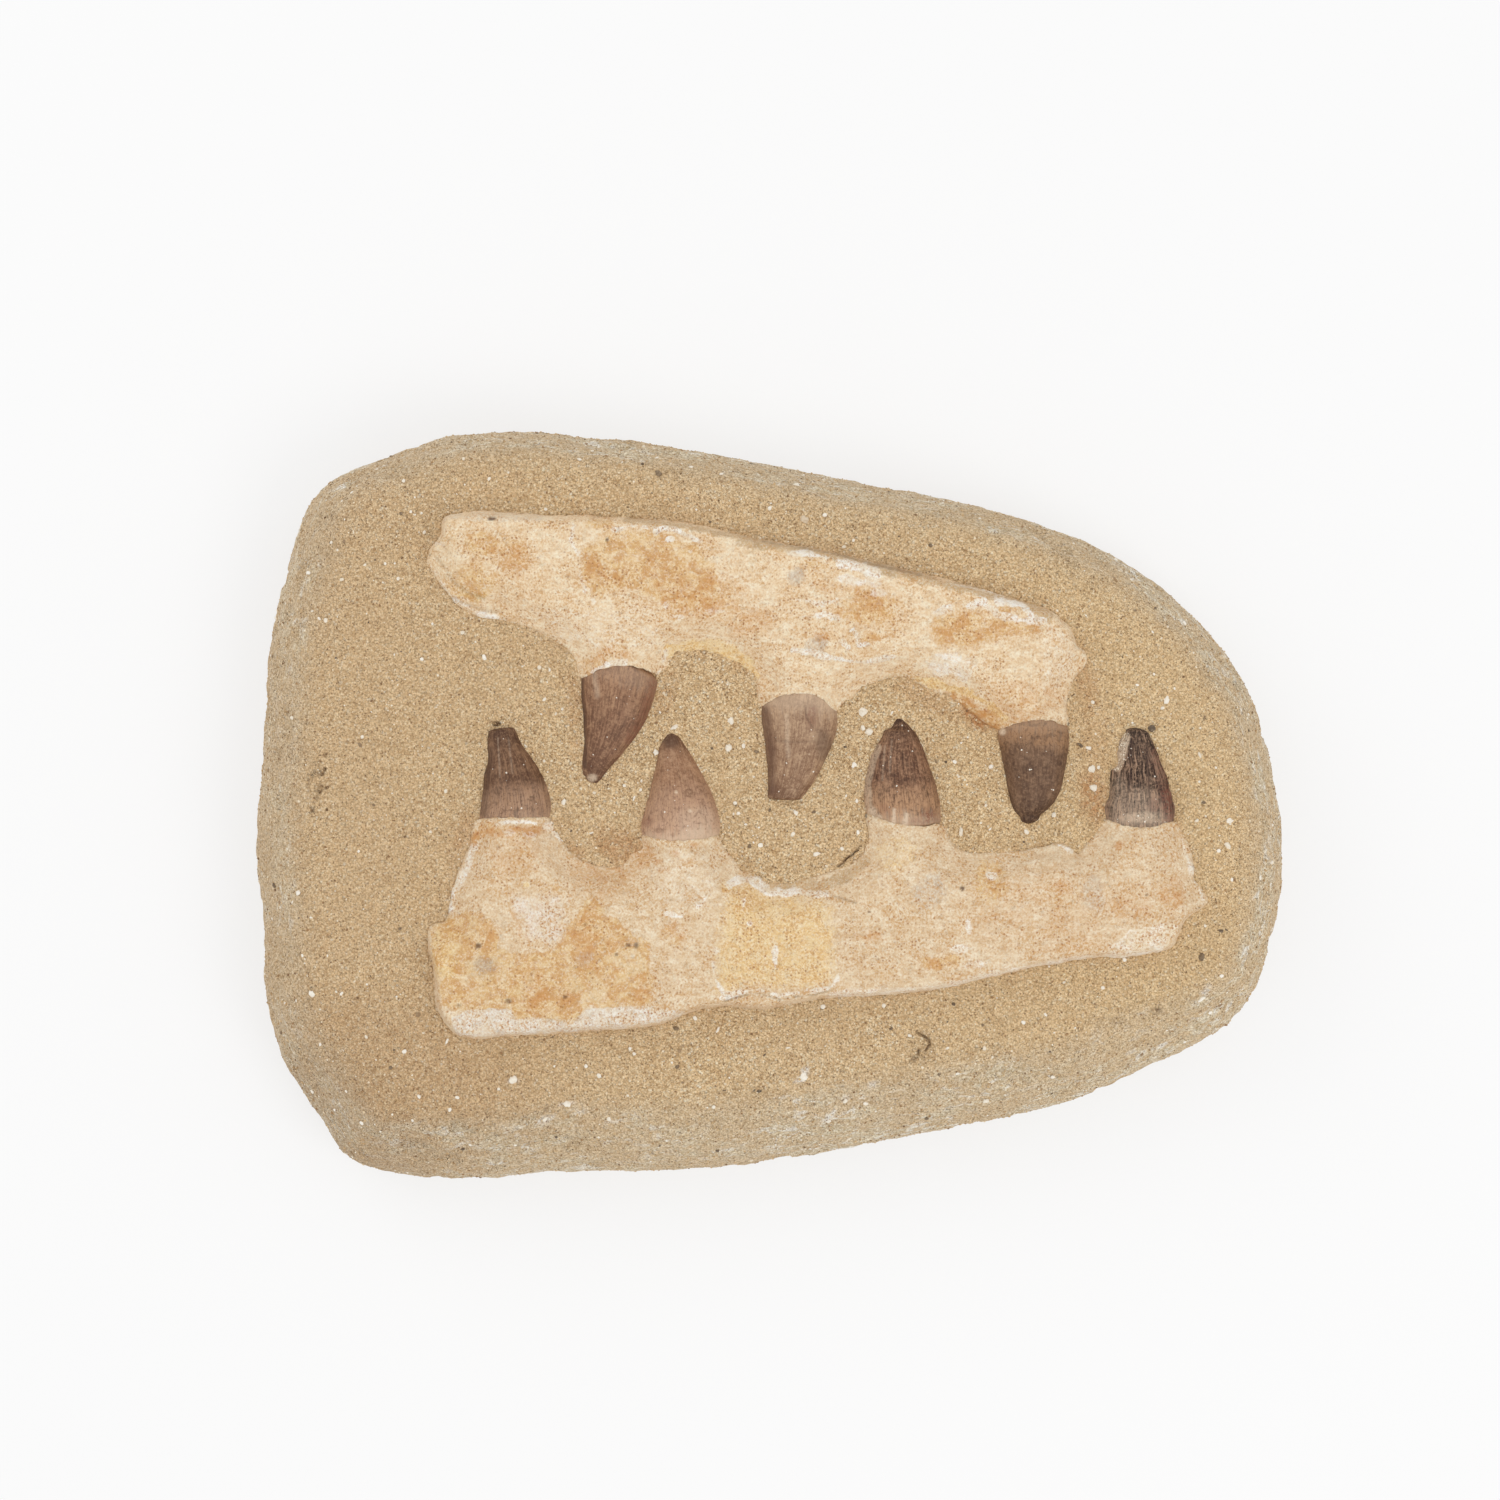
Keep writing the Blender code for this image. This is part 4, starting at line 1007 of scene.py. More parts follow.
CROWN_STAINS = ("pale", "russet", "shade")
CROWN_MARKS = [
    # Upper jaw, left to right
    # Pale streak on the first crown's left side near its base: partly pale enamel, partly painted highlight
    mark(stroke(1.8, (-52.8, 39.5), (-51.9, 33.2)), fringe=1.6, pale=0.35),
    mark(stroke(1.4, (-56.8, 38), (-56.2, 25), (-55.9, 12)), -0.1, 1.0, shade=0.7),
    mark(stroke(3, (-35.2, 37), (-38.2, 27), (-42, 20)), fringe=2.5, russet=0.5),
    mark(blot(-53.5, 8.5, 1.6, 1.2), 0.1, pale=0.7),
    mark(stroke(3, (-1.8, 29), (0.2, 16), (0.5, 5)), fringe=2.5, shade=0.5, russet=0.35),
    mark(blot(17, 17, 2.6, 6, 20), shade=0.45),
    mark(stroke(0.5, (10.5, 30), (11, 26.5), (12.8, 23.8)), -0.1, shade=0.5),
    mark(stroke(0.6, (1, 19.6), (8, 19.2), (17, 19.8)), -0.05, shade=0.3),
    mark(stroke(1.2, (5, 27), (5.5, 15)), pale=0.3),
    mark(blot(70.1, 22.4, 0.9, 1.1), 0.15, pale=1),
    mark(blot(12.4, 27, 1.8, 3.4), russet=0.45),
    # Lower jaw, left to right
    mark(stroke(0.5, (-82, 20.5), (-81.3, 9)), pale=0.22),
    mark(stroke(0.5, (-78.8, 20.5), (-77.5, 10)), pale=0.2),
    mark(stroke(2.6, (-86.6, -2), (-85.3, 8), (-84.6, 17)), fringe=2, shade=0.45),
    mark(blot(-28.2, 4.2, 0.5), 0.1, pale=1),
    mark(blot(-24, -1.5, 0.5), 0.1, pale=1),
    mark(stroke(2.2, (29.8, -1.5), (29.4, 6.5), (30.8, 13.2), (32.6, 17.6)), fringe=0.8, pale=0.5),
    mark(stroke(0.9, (37.1, -5.5), (37.4, -1)), fringe=0.6, pale=0.85),
    mark(stroke(1.4, (40.3, -6.5), (41.1, -2.4)), fringe=0.8, pale=0.8),
    mark(stroke(2.5, (43, -4.5), (47, -5), (51, -4)), fringe=2, russet=0.35),
    mark(stroke(2, (34, 0), (35.5, -2.5)), fringe=2, russet=0.3),
    mark(stroke(0.6, (34.6, 18), (33.8, 8)), pale=0.28),
    mark(stroke(0.6, (36.7, 20), (36, 10)), pale=0.22),
    mark(stroke(2.8, (104.4, 11.8), (106, 15.5), (107.2, 20.8)), -0.3, 1.0, pale=0.85, russet=0.3),
    mark(blot(104.5, 3.5, 3, 6), fringe=3, pale=0.2),
    mark(blot(109, 0.5, 7.5, 5), fringe=5, pale=0.2),
    mark(stroke(4, (120.6, -3.5), (119.6, 4)), fringe=4, russet=0.8),
    mark(stroke(3.5, (119.6, 4), (118, 10), (116, 16)), fringe=3.5, russet=0.4),
    mark(blot(115.5, 0.5, 1.8, 2.6, 20), fringe=2, russet=0.45),
    mark(blot(112, -3.2, 6, 1.8), fringe=3, pale=0.6),
    mark(stroke(0.5, (109, 20), (108.5, 8), (107, 0)), -0.12, shade=0.9),
    mark(stroke(0.5, (113.5, 19), (114, 6), (114.5, -2)), -0.12, shade=0.9),
    *ovals("russet", (-37.4, -4.6, 1.9, 1.6, 0.45), (48, -3, 2.6, 2.2, 0.6)),
    *ovals("pale", (-22, -4.5, 6, 4, 0.25), (30.6, -2, 1.7, 1.9, 0.8), (32.8, -3.6, 1, 1.2, 0.7)),
    mark(blot(-30, 19.5, 2.4, 2.2), shade=0.5),
]
# How far along the rounded tip each of its rings lies
TIP_RINGS = (0.35, 0.6, 0.8, 0.93, 0.99)
# Height and wavelength of the furrows, on lines that run along the crown
FURROW_LINES = ((1.0, 1.0), (0.7, 0.45))


def crown_ring(crown, t, pinch=1.0, forward=0.0):
    """One section of a crown: an arch over the sand and a flatter underside."""
    middle, turn, half, axis_height = crown.section(t)
    middle = middle + crown.axis * forward
    arch = np.linspace(0, math.pi, CROWN_COLUMNS, endpoint=False)
    under = np.linspace(math.pi, 2 * math.pi, CROWN_UNDER, endpoint=False)
    ring = []
    for angle in (*arch, *under):
        flat = middle + turn * half * pinch * math.cos(angle)
        rise = half * pinch * CROWN_DEPTH * math.sin(angle) * (1 if angle < math.pi else 0.3)
        ring.append((flat[0], flat[1], axis_height + rise))
    return ring


def crown_body(crown):
    """The rings of a crown joined up, from its root to its tip, with each point's column as a layer."""
    behind = max(0.0, crown.arc) + 1.5
    rings = [crown_ring(crown, 0.0, 0.8, 1.5 - behind - CROWN_ROOT)]
    rings += [crown_ring(crown, 0.0, 1.0, -away) for away in np.arange(behind, 0.1, -0.5)]
    rings += [crown_ring(crown, t) for t in np.linspace(0, 1, CROWN_RINGS)]
    rings += [crown_ring(crown, 1.0, math.sqrt(1 - share**2), crown.cap * share) for share in TIP_RINGS]
    bm = bmesh.new()
    column = bm.verts.layers.int.new("column")
    first = [bm.verts.new(point) for point in rings[0]]
    for number, vert in enumerate(first):
        vert[column] = number
    end = bm.faces.new(first)
    for ring in rings[1:]:
        grown = bmesh.ops.extrude_face_region(bm, geom=[end, *end.edges])["geom"]
        end = next(item for item in grown if isinstance(item, bmesh.types.BMFace))
        for vert in end.verts:
            vert.co = ring[vert[column]]
    bmesh.ops.recalc_face_normals(bm, faces=bm.faces)
    bm.normal_update()
    return bm, np.array([vert[column] for vert in bm.verts])


def make_crown(crown, node, material, seed, furrow):
    bm, columns = crown_body(crown)
    points = coordinates(bm)
    normals = np.array([vert.normal[:] for vert in bm.verts])
    along = ((points[:, :2] - crown.base) @ crown.axis) / crown.length
    across = np.where(columns < CROWN_COLUMNS, 1 - 2 * columns / CROWN_COLUMNS, 0.0)
    lines = np.column_stack((across * 14, along * 1.6, np.full(len(points), seed)))
    ridges = furrow * (layered(lines, ripple, FURROW_LINES) + 0.6 * ripple(points, 2.2, seed))
    past = crown.past_base(points)
    ridges *= ease(past, -0.5, 2.0)
    stains, relief = lay_marks(points, CROWN_MARKS, CROWN_STAINS, 0.4 * wandering(points, 61))
    foot = MATRIX_TOP - BASE_SINK
    for vert, normal, amount, behind in zip(bm.verts, normals, ridges + relief, np.maximum(-past - 0.6, 0)):
        vert.co += Vector(normal) * float(amount)
        vert.co.z -= 0.85 * max(0.0, vert.co.z - foot) * min(1.0, behind / 3) + 0.5 * min(behind, 1.5)
    stains["along"] = along
    stains["across"] = across
    return finish_piece(crown.name, bm, material, [node], stains)


# Loose grains and fossil bits

GRAINS = 9500  # most loose grains in each of the two pieces of them
GRAIN_PIECES = (("coarse_sand", 0.5), ("fine_sand", 0.36))  # each with the size of its largest grain
SMALLEST_GRAIN = 0.2
GRAIN_STANDS = 0.15  # how far the middle of a grain is above the sand, as a share of its size
GRAIN_BATCH = 200  # grains made at a time, because a large bmesh slows down
FLECKS = 1000  # small white and dark flecks among them
WHITE_FLECKS = 0.74  # share of the flecks that are white
# Stretch along the crown and across it, and number, of the grit: on each crown, and more on the last
GRIT = ((0.05, 0.95), (-0.85, 0.85), 9)
GRIT_PATCHES = (((0.55, 0.98), (-0.93, -0.62), 80), ((-0.04, 0.1), (-0.7, 0.8), 16))
# Place, width and tone, from dark to white
KNOWN_BITS = [
    (-140.1, 70.7, 1.9, 0.97), (-102, 55, 1, 0.97), (-86.3, 45, 1.6, 0.97), (-22.6, -64, 1.2, 0.97),
    (-15.7, -67.7, 1.5, 0.97), (10.3, -81.9, 2, 0.97), (83.4, -63.1, 0.9, 0.97),
    (130.8, -58.6, 2.2, 0.95), (-138.6, -56.8, 1.9, 0.95), (-129.5, -56.8, 1.3, 0.95),
    (-97.5, -71, 1.4, 0.95), (-110.5, -74.3, 1.2, 0.95), (96.4, 17.5, 1.5, 0.9), (119.9, 32, 2, 0.9),
    (118.7, 29.6, 1.1, 0.85), (97.3, 11.2, 1.9, 0.85), (97.9, 5.4, 2, 0.85), (85.8, -2.7, 1.5, 0.85),
    (77.7, -7.9, 1.6, 0.85), (66.8, 11.8, 1.5, 0.95), (26.6, -7.9, 1.3, 0.98), (21.8, -13, 1.3, 0.92),
    (14.2, -14.5, 1.7, 0.97), (26.3, 1.5, 1.1, 0.9), (23, 3, 1, 0.9), (25.4, 12.4, 1.4, 0.98),
    (42.2, -69.4, 1.1, 0.95), (53.8, -73.2, 0.9, 0.9), (-11.8, 25.7, 2, 0.9), (-12.3, 17.5, 2, 0.88),
    (-28.8, 23.8, 1.8, 0.88), (-34.4, 16.1, 1.5, 0.88), (-3.9, 16.4, 1, 0.2), (-17.4, 17.4, 0.8, 0.1),
    (57.7, -7.9, 2.6, 0.84), (36.9, 28.1, 1.1, 0.95), (28.1, 28.4, 2.2, 0.85), (28.1, 23.5, 1.5, 0.85),
    (29.9, 22.3, 2, 0.85), (-41, 2.4, 1.4, 0.95), (-62.2, 1.2, 1.6, 0.9), (-54, -8.2, 1, 0.95),
    (-2.7, -11.8, 1.3, 0.97), (-10.5, 0.9, 1.1, 0.9), (7.9, -2.1, 1.4, 0.9), (7, -8.5, 1.5, 0.85),
    (66.5, -7, 1.1, 0.95), (-77.6, -82.8, 2.2, 0.9), (-51.6, -81.6, 1.4, 0.9), (-106, -87.9, 1.4, 0.95),
    (-61.3, -90, 1.9, 0.9), (-68.2, -95.1, 1.6, 0.85), (-16.9, -91.2, 1.1, 0.9), (5.5, -73.1, 1.2, 0.9),
    (56.8, -81.2, 1.1, 0.95), (23, -89.4, 1.4, 0.85), (17.9, -95.7, 2.1, 0.9), (65.9, -90, 1.6, 0.85),
    (86.1, -82.5, 1.4, 0.85), (8.2, 97.2, 2, 0.85), (0, 90, 1.1, 0.9), (-57.6, 104.8, 1.3, 0.85),
    (-142.8, -26.3, 1.5, 0.95), (-144.9, 26.6, 1.4, 0.8), (139, -4.5, 1.8, 0.9), (138.4, -11.8, 2.2, 0.8),
    (129, -4.5, 1.5, 0.8), (135.6, -13.6, 1, 0.97), (152.6, -17.2, 1.5, 0.9), (129.9, 15.4, 1.5, 0.8),
    (148.6, -21.8, 1.2, 0.85), (10.6, 86.4, 2, 0.62), (10, 87.3, 1.4, 0.62), (-33.8, 100.6, 1.9, 0.16),
    (130.5, -45.6, 2, 0.14), (93.7, 18.4, 1.6, 0.08), (-28.3, -67.1, 1.6, 0.18), (-28, -78.8, 1.6, 0.15),
    (115.4, 23.5, 2.1, 0.05), (115.4, 23.7, 1, 0.42), (-38.6, 103.6, 0.9, 0.05), (-18.1, 85.8, 0.8, 0.1),
    (131.4, 26.6, 1.2, 0.25), (136.5, -37.8, 1.3, 0.05), (138.1, -37.5, 0.9, 0.1),
    (22.7, 17.8, 1.1, 0.05), (53.2, 13.3, 0.8, 0.08), (0, -1.2, 1, 0.15), (13.3, -1.8, 0.9, 0.15),
    (-60.1, -7.6, 0.8, 0.1), (76.7, -10.9, 0.8, 0.05), (-1.5, -75.2, 0.9, 0.1), (-4.8, -86.1, 0.8, 0.05),
]


def sand_places(sand, count, rng, away_from):
    """Points spread evenly over the sand, with its normals there, clear of the bones and crowns."""
    mesh = sand.data
    mesh.calc_loop_triangles()
    triangles = np.zeros(len(mesh.loop_triangles) * 3, np.int32)
    mesh.loop_triangles.foreach_get("vertices", triangles)
    corners = np.zeros(len(mesh.vertices) * 3)
    mesh.vertices.foreach_get("co", corners)
    a, b, c = (corners.reshape(-1, 3) / MM)[triangles.reshape(-1, 3)].transpose(1, 0, 2)
    facing = np.cross(b - a, c - a)
    area = np.linalg.norm(facing, axis=1)
    picked = rng.choice(len(area), int(count * 1.9), p=area / area.sum())
    u, v = rng.random(len(picked)), rng.random(len(picked))
    u, v = np.where(u + v > 1, 1 - u, u), np.where(u + v > 1, 1 - v, v)
    spots = a[picked] + u[:, None] * (b - a)[picked] + v[:, None] * (c - a)[picked]
    normals = facing[picked] / area[picked][:, None]
    free = spots[:, 2] > 2.0
    for loop in away_from:
        free &= depth_inside(loop, spots) < -0.1
    return spots[free][:count], normals[free][:count]


def sand_under(sand, places):
    """The points of the sand's upper side nearest to some places seen from above, with its normals there."""
    above = [vert for vert in sand.data.vertices if vert.co.z > 0.5 * MATRIX_TOP * MM]
    points = np.array([vert.co[:] for vert in above]) / MM
    found = nearest(points[:, :2], places)[0]
    normals = np.array([above[number].normal[:] for number in found])
    return np.column_stack((places, points[found, 2])), normals


def make_grains(name, spots, normals, sizes, tones, material, squash, rng, divisions=1):
    """Small lumps in one piece, each with a tone of its own and its own place on the piece's map."""
    slimmest, knobbly = (0.6, 0.35) if divisions == 1 else (0.4, 0.55)
    whole = bmesh.new()
    lumps = list(zip(spots, normals, sizes))
    for start in range(0, len(lumps), GRAIN_BATCH):
        bm = bmesh.new()
        for spot, normal, size in lumps[start:start + GRAIN_BATCH]:
            up = Vector(normal)
            turn = up.to_track_quat("Z", "Y").to_matrix().to_4x4()
            spin = Matrix.Rotation(rng.uniform(0, 6.28), 4, "Z")
            width = size * rng.uniform(slimmest, 1.0)
            height = size * rng.uniform(0.7, 1.0) * squash
            place = Matrix.Translation(Vector(spot) + up * float(size * GRAIN_STANDS * squash))
            matrix = place @ turn @ spin @ Matrix.Diagonal((size, width, height, 1))
            bmesh.ops.create_icosphere(bm, subdivisions=divisions, radius=1.0, matrix=matrix)
        lump = bpy.data.meshes.new("batch")
        bm.to_mesh(lump)
        bm.free()
        whole.from_mesh(lump)
        bpy.data.meshes.remove(lump)
    per_lump = len(whole.verts) // len(lumps)
    points = coordinates(whole)
    knobs = 1 + knobbly * ripple(points, 0.7, 77)
    middles = points.reshape(-1, per_lump, 3).mean(1).repeat(per_lump, 0)
    for vert, middle, knob in zip(whole.verts, middles, knobs):
        vert.co = Vector(middle) + (vert.co - Vector(middle)) * float(knob)
    lay_chart(whole, per_lump, middles, sizes)
    return finish_piece(name, whole, material, (), {"tone": tones.repeat(per_lump)}, smooth=False)


def lay_chart(bm, per_lump, middles, sizes):
    """Gives each lump a square of its own on the piece's map."""
    side = math.ceil(math.sqrt(len(sizes)))
    chart = bm.loops.layers.uv.new("OFBake")
    bm.verts.index_update()
    for face in bm.faces:
        for loop in face.loops:
            number = loop.vert.index // per_lump
            away = loop.vert.co - Vector(middles[loop.vert.index])
            widest = 2.6 * sizes[number]
            loop[chart].uv = (
                (number % side + 0.5 + 0.8 * away.x / widest) / side,
                (number // side + 0.5 + 0.8 * away.y / widest) / side,
            )


def crown_places(crown, shares, asides):
    """Points on a crown at shares of its length and of its half width, with its normals there."""
    spots, normals = [], []
    for share, aside in zip(shares, asides):
        middle, turn, half, axis_height = crown.section(share)
        rise = math.sqrt(1 - aside**2)
        spots.append((*(middle + turn * half * aside), axis_height + half * CROWN_DEPTH * rise))
        normals.append(tuple(Vector((*(turn * aside * CROWN_DEPTH), rise)).normalized()))
    return np.array(spots), np.array(normals)


def scatter(sand, bones, crowns, grain_material, bit_material):
    """Grains all over the sand, then white and dark bits of fossil, and grit stuck to the crowns."""
    rng = np.random.default_rng(7)
    outlines = bones + [crown.loop() for crown in crowns]
    for name, largest in GRAIN_PIECES:
        spots, normals = sand_places(sand, GRAINS, rng, outlines)
        sizes = SMALLEST_GRAIN + (largest - SMALLEST_GRAIN) * rng.random(len(spots)) ** 2.2
        make_grains(name, spots, normals, sizes, rng.random(len(spots)), grain_material, 0.8, rng)
    spots, normals = sand_places(sand, FLECKS, rng, outlines)
    sizes = 0.28 + 0.6 * rng.random(len(spots)) ** 3
    white = rng.random(len(spots)) < WHITE_FLECKS
    tones = np.where(white, rng.uniform(0.75, 1.0, len(spots)), rng.uniform(0, 0.4, len(spots)))
    make_grains("shell_flecks", spots, normals, sizes, tones, bit_material, 0.6, rng)
    known = np.array(KNOWN_BITS)
    spots, normals = sand_under(sand, known[:, :2])
    make_grains("fossil_bits", spots, normals, known[:, 2] * 0.6, known[:, 3], bit_material, 0.6, rng, 2)

    grit = [
        crown_places(crown, rng.uniform(*along, count), rng.uniform(*across, count))
        for crown, along, across, count in [(crown, *GRIT) for crown in crowns] + [
            (crowns[-1], *patch) for patch in GRIT_PATCHES
        ]
    ]
    spots = np.concatenate([places for places, _ in grit])
    normals = np.concatenate([directions for _, directions in grit])
    sizes = 0.14 + 0.22 * rng.random(len(spots)) ** 2
    loose = np.arange(len(spots)) < GRIT[-1] * len(crowns)
    tones = np.where(loose, 0.9, rng.uniform(0.5, 0.95, len(spots)))
    make_grains("crown_grit", spots, normals, sizes, tones, bit_material, 0.7, rng)


# Finishes

class Recipe:
    """A material under construction. Each method adds a node and gives the socket of its result."""

    def __init__(self, name):
        self.material = bpy.data.materials.new(name)
        self.material.use_nodes = True
        self.tree = self.material.node_tree
        self.shader = self.tree.nodes["Principled BSDF"]
        place = self.tree.nodes.new("ShaderNodeTexCoord").outputs["Object"]
        self.place = self.put("ShaderNodeVectorMath", {"operation": "SCALE"}, Vector=place, Scale=1 / MM)[0]

    def put(self, kind, settings=None, **inputs):
        made = self.tree.nodes.new(kind)
        for name, value in (settings or {}).items():
            setattr(made, name, value)
        for name, value in inputs.items():
            self.feed(made.inputs[name.replace("_", " ")], value)
        return made.outputs

    def feed(self, socket, value):
        if isinstance(value, bpy.types.NodeSocket):
            self.tree.links.new(value, socket)
        else:
            socket.default_value = value

    def attribute(self, name):
        return self.put("ShaderNodeAttribute", {"attribute_name": name})["Fac"]

    def joined(self, kind, operation, a, b):
        """What a Math or Vector Math node makes of two values."""
        made = self.tree.nodes.new(kind)
        made.operation = operation
        self.feed(made.inputs[0], a)
        self.feed(made.inputs[1], b)
        return made.outputs[0]

    def stretched(self, *factors):
        return self.joined("ShaderNodeVectorMath", "MULTIPLY", self.place, factors)

    def times(self, a, b):
        return self.joined("ShaderNodeMath", "MULTIPLY", a, b)

    def plus(self, a, b):
        return self.joined("ShaderNodeMath", "ADD", a, b)

    def minus(self, a, b):
        return self.joined("ShaderNodeMath", "SUBTRACT", a, b)

    def least(self, a, b):
        return self.joined("ShaderNodeMath", "MINIMUM", a, b)

    def noise(self, wavelength, detail=3.0, roughness=0.55, where=None, warp=0.0):
        return self.put(
            "ShaderNodeTexNoise", None, Vector=where or self.place, Scale=1 / wavelength, Detail=detail,
            Roughness=roughness, Distortion=warp,
        )[0]

    def cells(self, size, where=None):
        """How far from the middle of its grain each point is, and two values of the grain's own."""
        found = self.put("ShaderNodeTexVoronoi", None, Vector=where or self.place, Scale=1 / size)
        own = self.put("ShaderNodeSeparateColor", None, Color=found["Color"])
        return found["Distance"], own[0], own[1]

    def level(self, value, low, high, to_low=0.0, to_high=1.0):
        return self.put(
            "ShaderNodeMapRange", {"interpolation_type": "SMOOTHSTEP"}, Value=value, From_Min=low,
            From_Max=high, To_Min=to_low, To_Max=to_high,
        )[0]

    def worn(self, stain, pattern, low, high, lowest):
        """A stain's attribute, in full where a pattern is high and down to a share where it is low."""
        return self.times(self.attribute(stain), self.level(pattern, low, high, lowest, 1.0))

    def mix(self, share, under, over):
        made = self.tree.nodes.new("ShaderNodeMix")
        made.data_type = "RGBA"
        self.feed(made.inputs[0], share)
        self.feed(made.inputs[6], under)
        self.feed(made.inputs[7], over)
        return made.outputs[2]

    def veiled(self, colour, *veils):
        """Other colours over a colour, each where its pattern is past a level and up to its own share."""
        for pattern, low, high, share, over in veils:
            colour = self.mix(self.level(pattern, low, high, 0.0, share), colour, over)
        return colour

    def ramp(self, value, stops):
        made = self.tree.nodes.new("ShaderNodeValToRGB")
        elements = made.color_ramp.elements
        elements[0].position, elements[0].color = stops[0]
        elements[1].position, elements[1].color = stops[-1]
        for position, colour in stops[1:-1]:
            elements.new(position).color = colour
        self.feed(made.inputs[0], value)
        return made.outputs[0]

    def bump(self, height, depth, under=None):
        """Relief of a depth in millimetres, on top of another."""
        made = self.put("ShaderNodeBump", None, Height=height, Distance=depth * MM)
        if under:
            self.tree.links.new(under, made[0].node.inputs["Normal"])
        return made[0]

    def finish(self, colour, roughness, normal):
        self.feed(self.shader.inputs["Base Color"], colour)
        self.feed(self.shader.inputs["Roughness"], roughness)
        self.tree.links.new(normal, self.shader.inputs["Normal"])
        return self.material


def sand_finish():
    r = Recipe("phosphate_sand")
    drift = r.noise(45, 3)
    patch = r.noise(5, 4, 0.6)
    dome, grain, _ = r.cells(0.64)
    fine_dome, fine, speck = r.cells(0.4)
    ground = r.ramp(grain, [
        (0.0, tint(158, 120, 78)), (0.12, tint(208, 171, 123)), (0.4, tint(235, 201, 154)),
        (0.75, tint(244, 214, 169)), (0.93, tint(255, 233, 194)), (1.0, tint(255, 252, 234)),
    ])
    small = r.ramp(fine, [
        (0.0, tint(158, 121, 80)), (0.25, tint(213, 178, 130)), (0.7, tint(245, 215, 169)),
        (1.0, tint(255, 244, 212)),
    ])
    # The sand is darker towards the west end and lighter and yellower towards the east end
    eastward = r.put("ShaderNodeSeparateXYZ", None, Vector=r.place)[0]
    colour = r.veiled(
        r.mix(0.45, ground, small),
        (drift, 0.35, 0.65, 0.3, tint(226, 194, 150)),
        (patch, 0.5, 0.75, 0.4, tint(196, 160, 114)),
        (eastward, -30, -150, 0.3, tint(206, 172, 132)),
        (eastward, 20, 140, 0.3, tint(240, 206, 152)),
    )
    colour = r.mix(r.worn("rust", r.noise(1.6, 4, 0.7), 0.35, 0.6, 0.2), colour, tint(190, 132, 82))
    skin = r.mix(r.level(r.noise(1.0, 4, 0.7), 0.35, 0.65), tint(186, 156, 116), tint(242, 222, 190))
    colour = r.mix(r.times(r.attribute("flank"), 0.5), colour, skin)
    streaks = r.noise(3.4, 6, 0.68, r.stretched(0.3, 0.3, 1.0), 0.8)
    pale = r.mix(r.level(r.noise(1.1, 4, 0.7), 0.38, 0.62), tint(208, 186, 148), tint(250, 238, 212))
    colour = r.mix(r.worn("chalk", streaks, 0.4, 0.58, 0.1), colour, pale)
    colour = r.mix(r.worn("white", r.noise(0.9, 3, 0.6), 0.34, 0.5, 0.3), colour, tint(252, 249, 242))
    white = r.level(r.noise(3.2, 5, 0.7, r.stretched(0.5, 0.5, 1.4), 0.6), 0.55, 0.63, 0.0, 0.9)
    colour = r.mix(r.times(white, r.attribute("chalk")), colour, tint(252, 246, 232))
    # Painted shade in the gaps between the grains, darker towards the edge of each grain's cell, and a few
    # dark specks
    colour = r.veiled(
        colour,
        (dome, 0.42, 0.72, 0.4, tint(148, 110, 67)),
        (speck, 0.96, 0.98, 0.65, tint(118, 80, 44)),
    )
    # Darker sand, and painted shade in the carved cracks and holes
    colour = r.mix(r.worn("damp", r.noise(0.9, 3, 0.65), 0.36, 0.56, 0.4), colour, tint(104, 76, 50))
    relief = r.bump(r.minus(1.0, dome), 0.5)
    relief = r.bump(r.minus(1.0, fine_dome), 0.22, relief)
    relief = r.bump(patch, 0.5, relief)
    return r.finish(colour, 0.93, relief)


def grain_finish():
    r = Recipe("loose_grains")
    colour = r.ramp(r.attribute("tone"), [
        (0.0, tint(112, 84, 56)), (0.12, tint(160, 124, 84)), (0.4, tint(198, 166, 122)),
        (0.75, tint(216, 188, 146)), (0.93, tint(238, 220, 188)), (1.0, tint(248, 240, 222)),
    ])
    cloud = r.noise(0.5, 3, 0.6)
    colour = r.veiled(colour, (cloud, 0.4, 0.7, 0.35, tint(186, 150, 108)))
    return r.finish(colour, 0.85, r.bump(cloud, 0.08))


def bit_finish():
    r = Recipe("fossil_bits")
    colour = r.ramp(r.attribute("tone"), [
        (0.0, tint(80, 66, 54)), (0.2, tint(130, 108, 82)), (0.45, tint(178, 144, 104)),
        (0.7, tint(230, 216, 192)), (1.0, tint(248, 243, 232)),
    ])
    cloud = r.noise(0.7, 4, 0.65)
    colour = r.veiled(colour, (cloud, 0.42, 0.7, 0.3, tint(206, 184, 150)))
    return r.finish(colour, 0.7, r.bump(cloud, 0.12))


# Stain, its thin and thick colour, how ragged it is, its greatest share and how patchy it is
BONE_STAIN_LOOKS = (
    ("yellow", tint(250, 225, 169), tint(244, 208, 142), 1.0, 0.88, 0.35),
    ("ochre", tint(240, 207, 148), tint(207, 151, 82), 1.6, 0.82, 0.5),
    ("grey", tint(218, 204, 184), tint(200, 184, 166), 1.0, 0.75, 0.3),
    ("sandy", tint(214, 188, 150), tint(196, 166, 126), 0.6, 0.95, 0.2),
    ("chalk", tint(245, 233, 212), tint(255, 252, 244), 0.9, 0.92, 0.25),
)


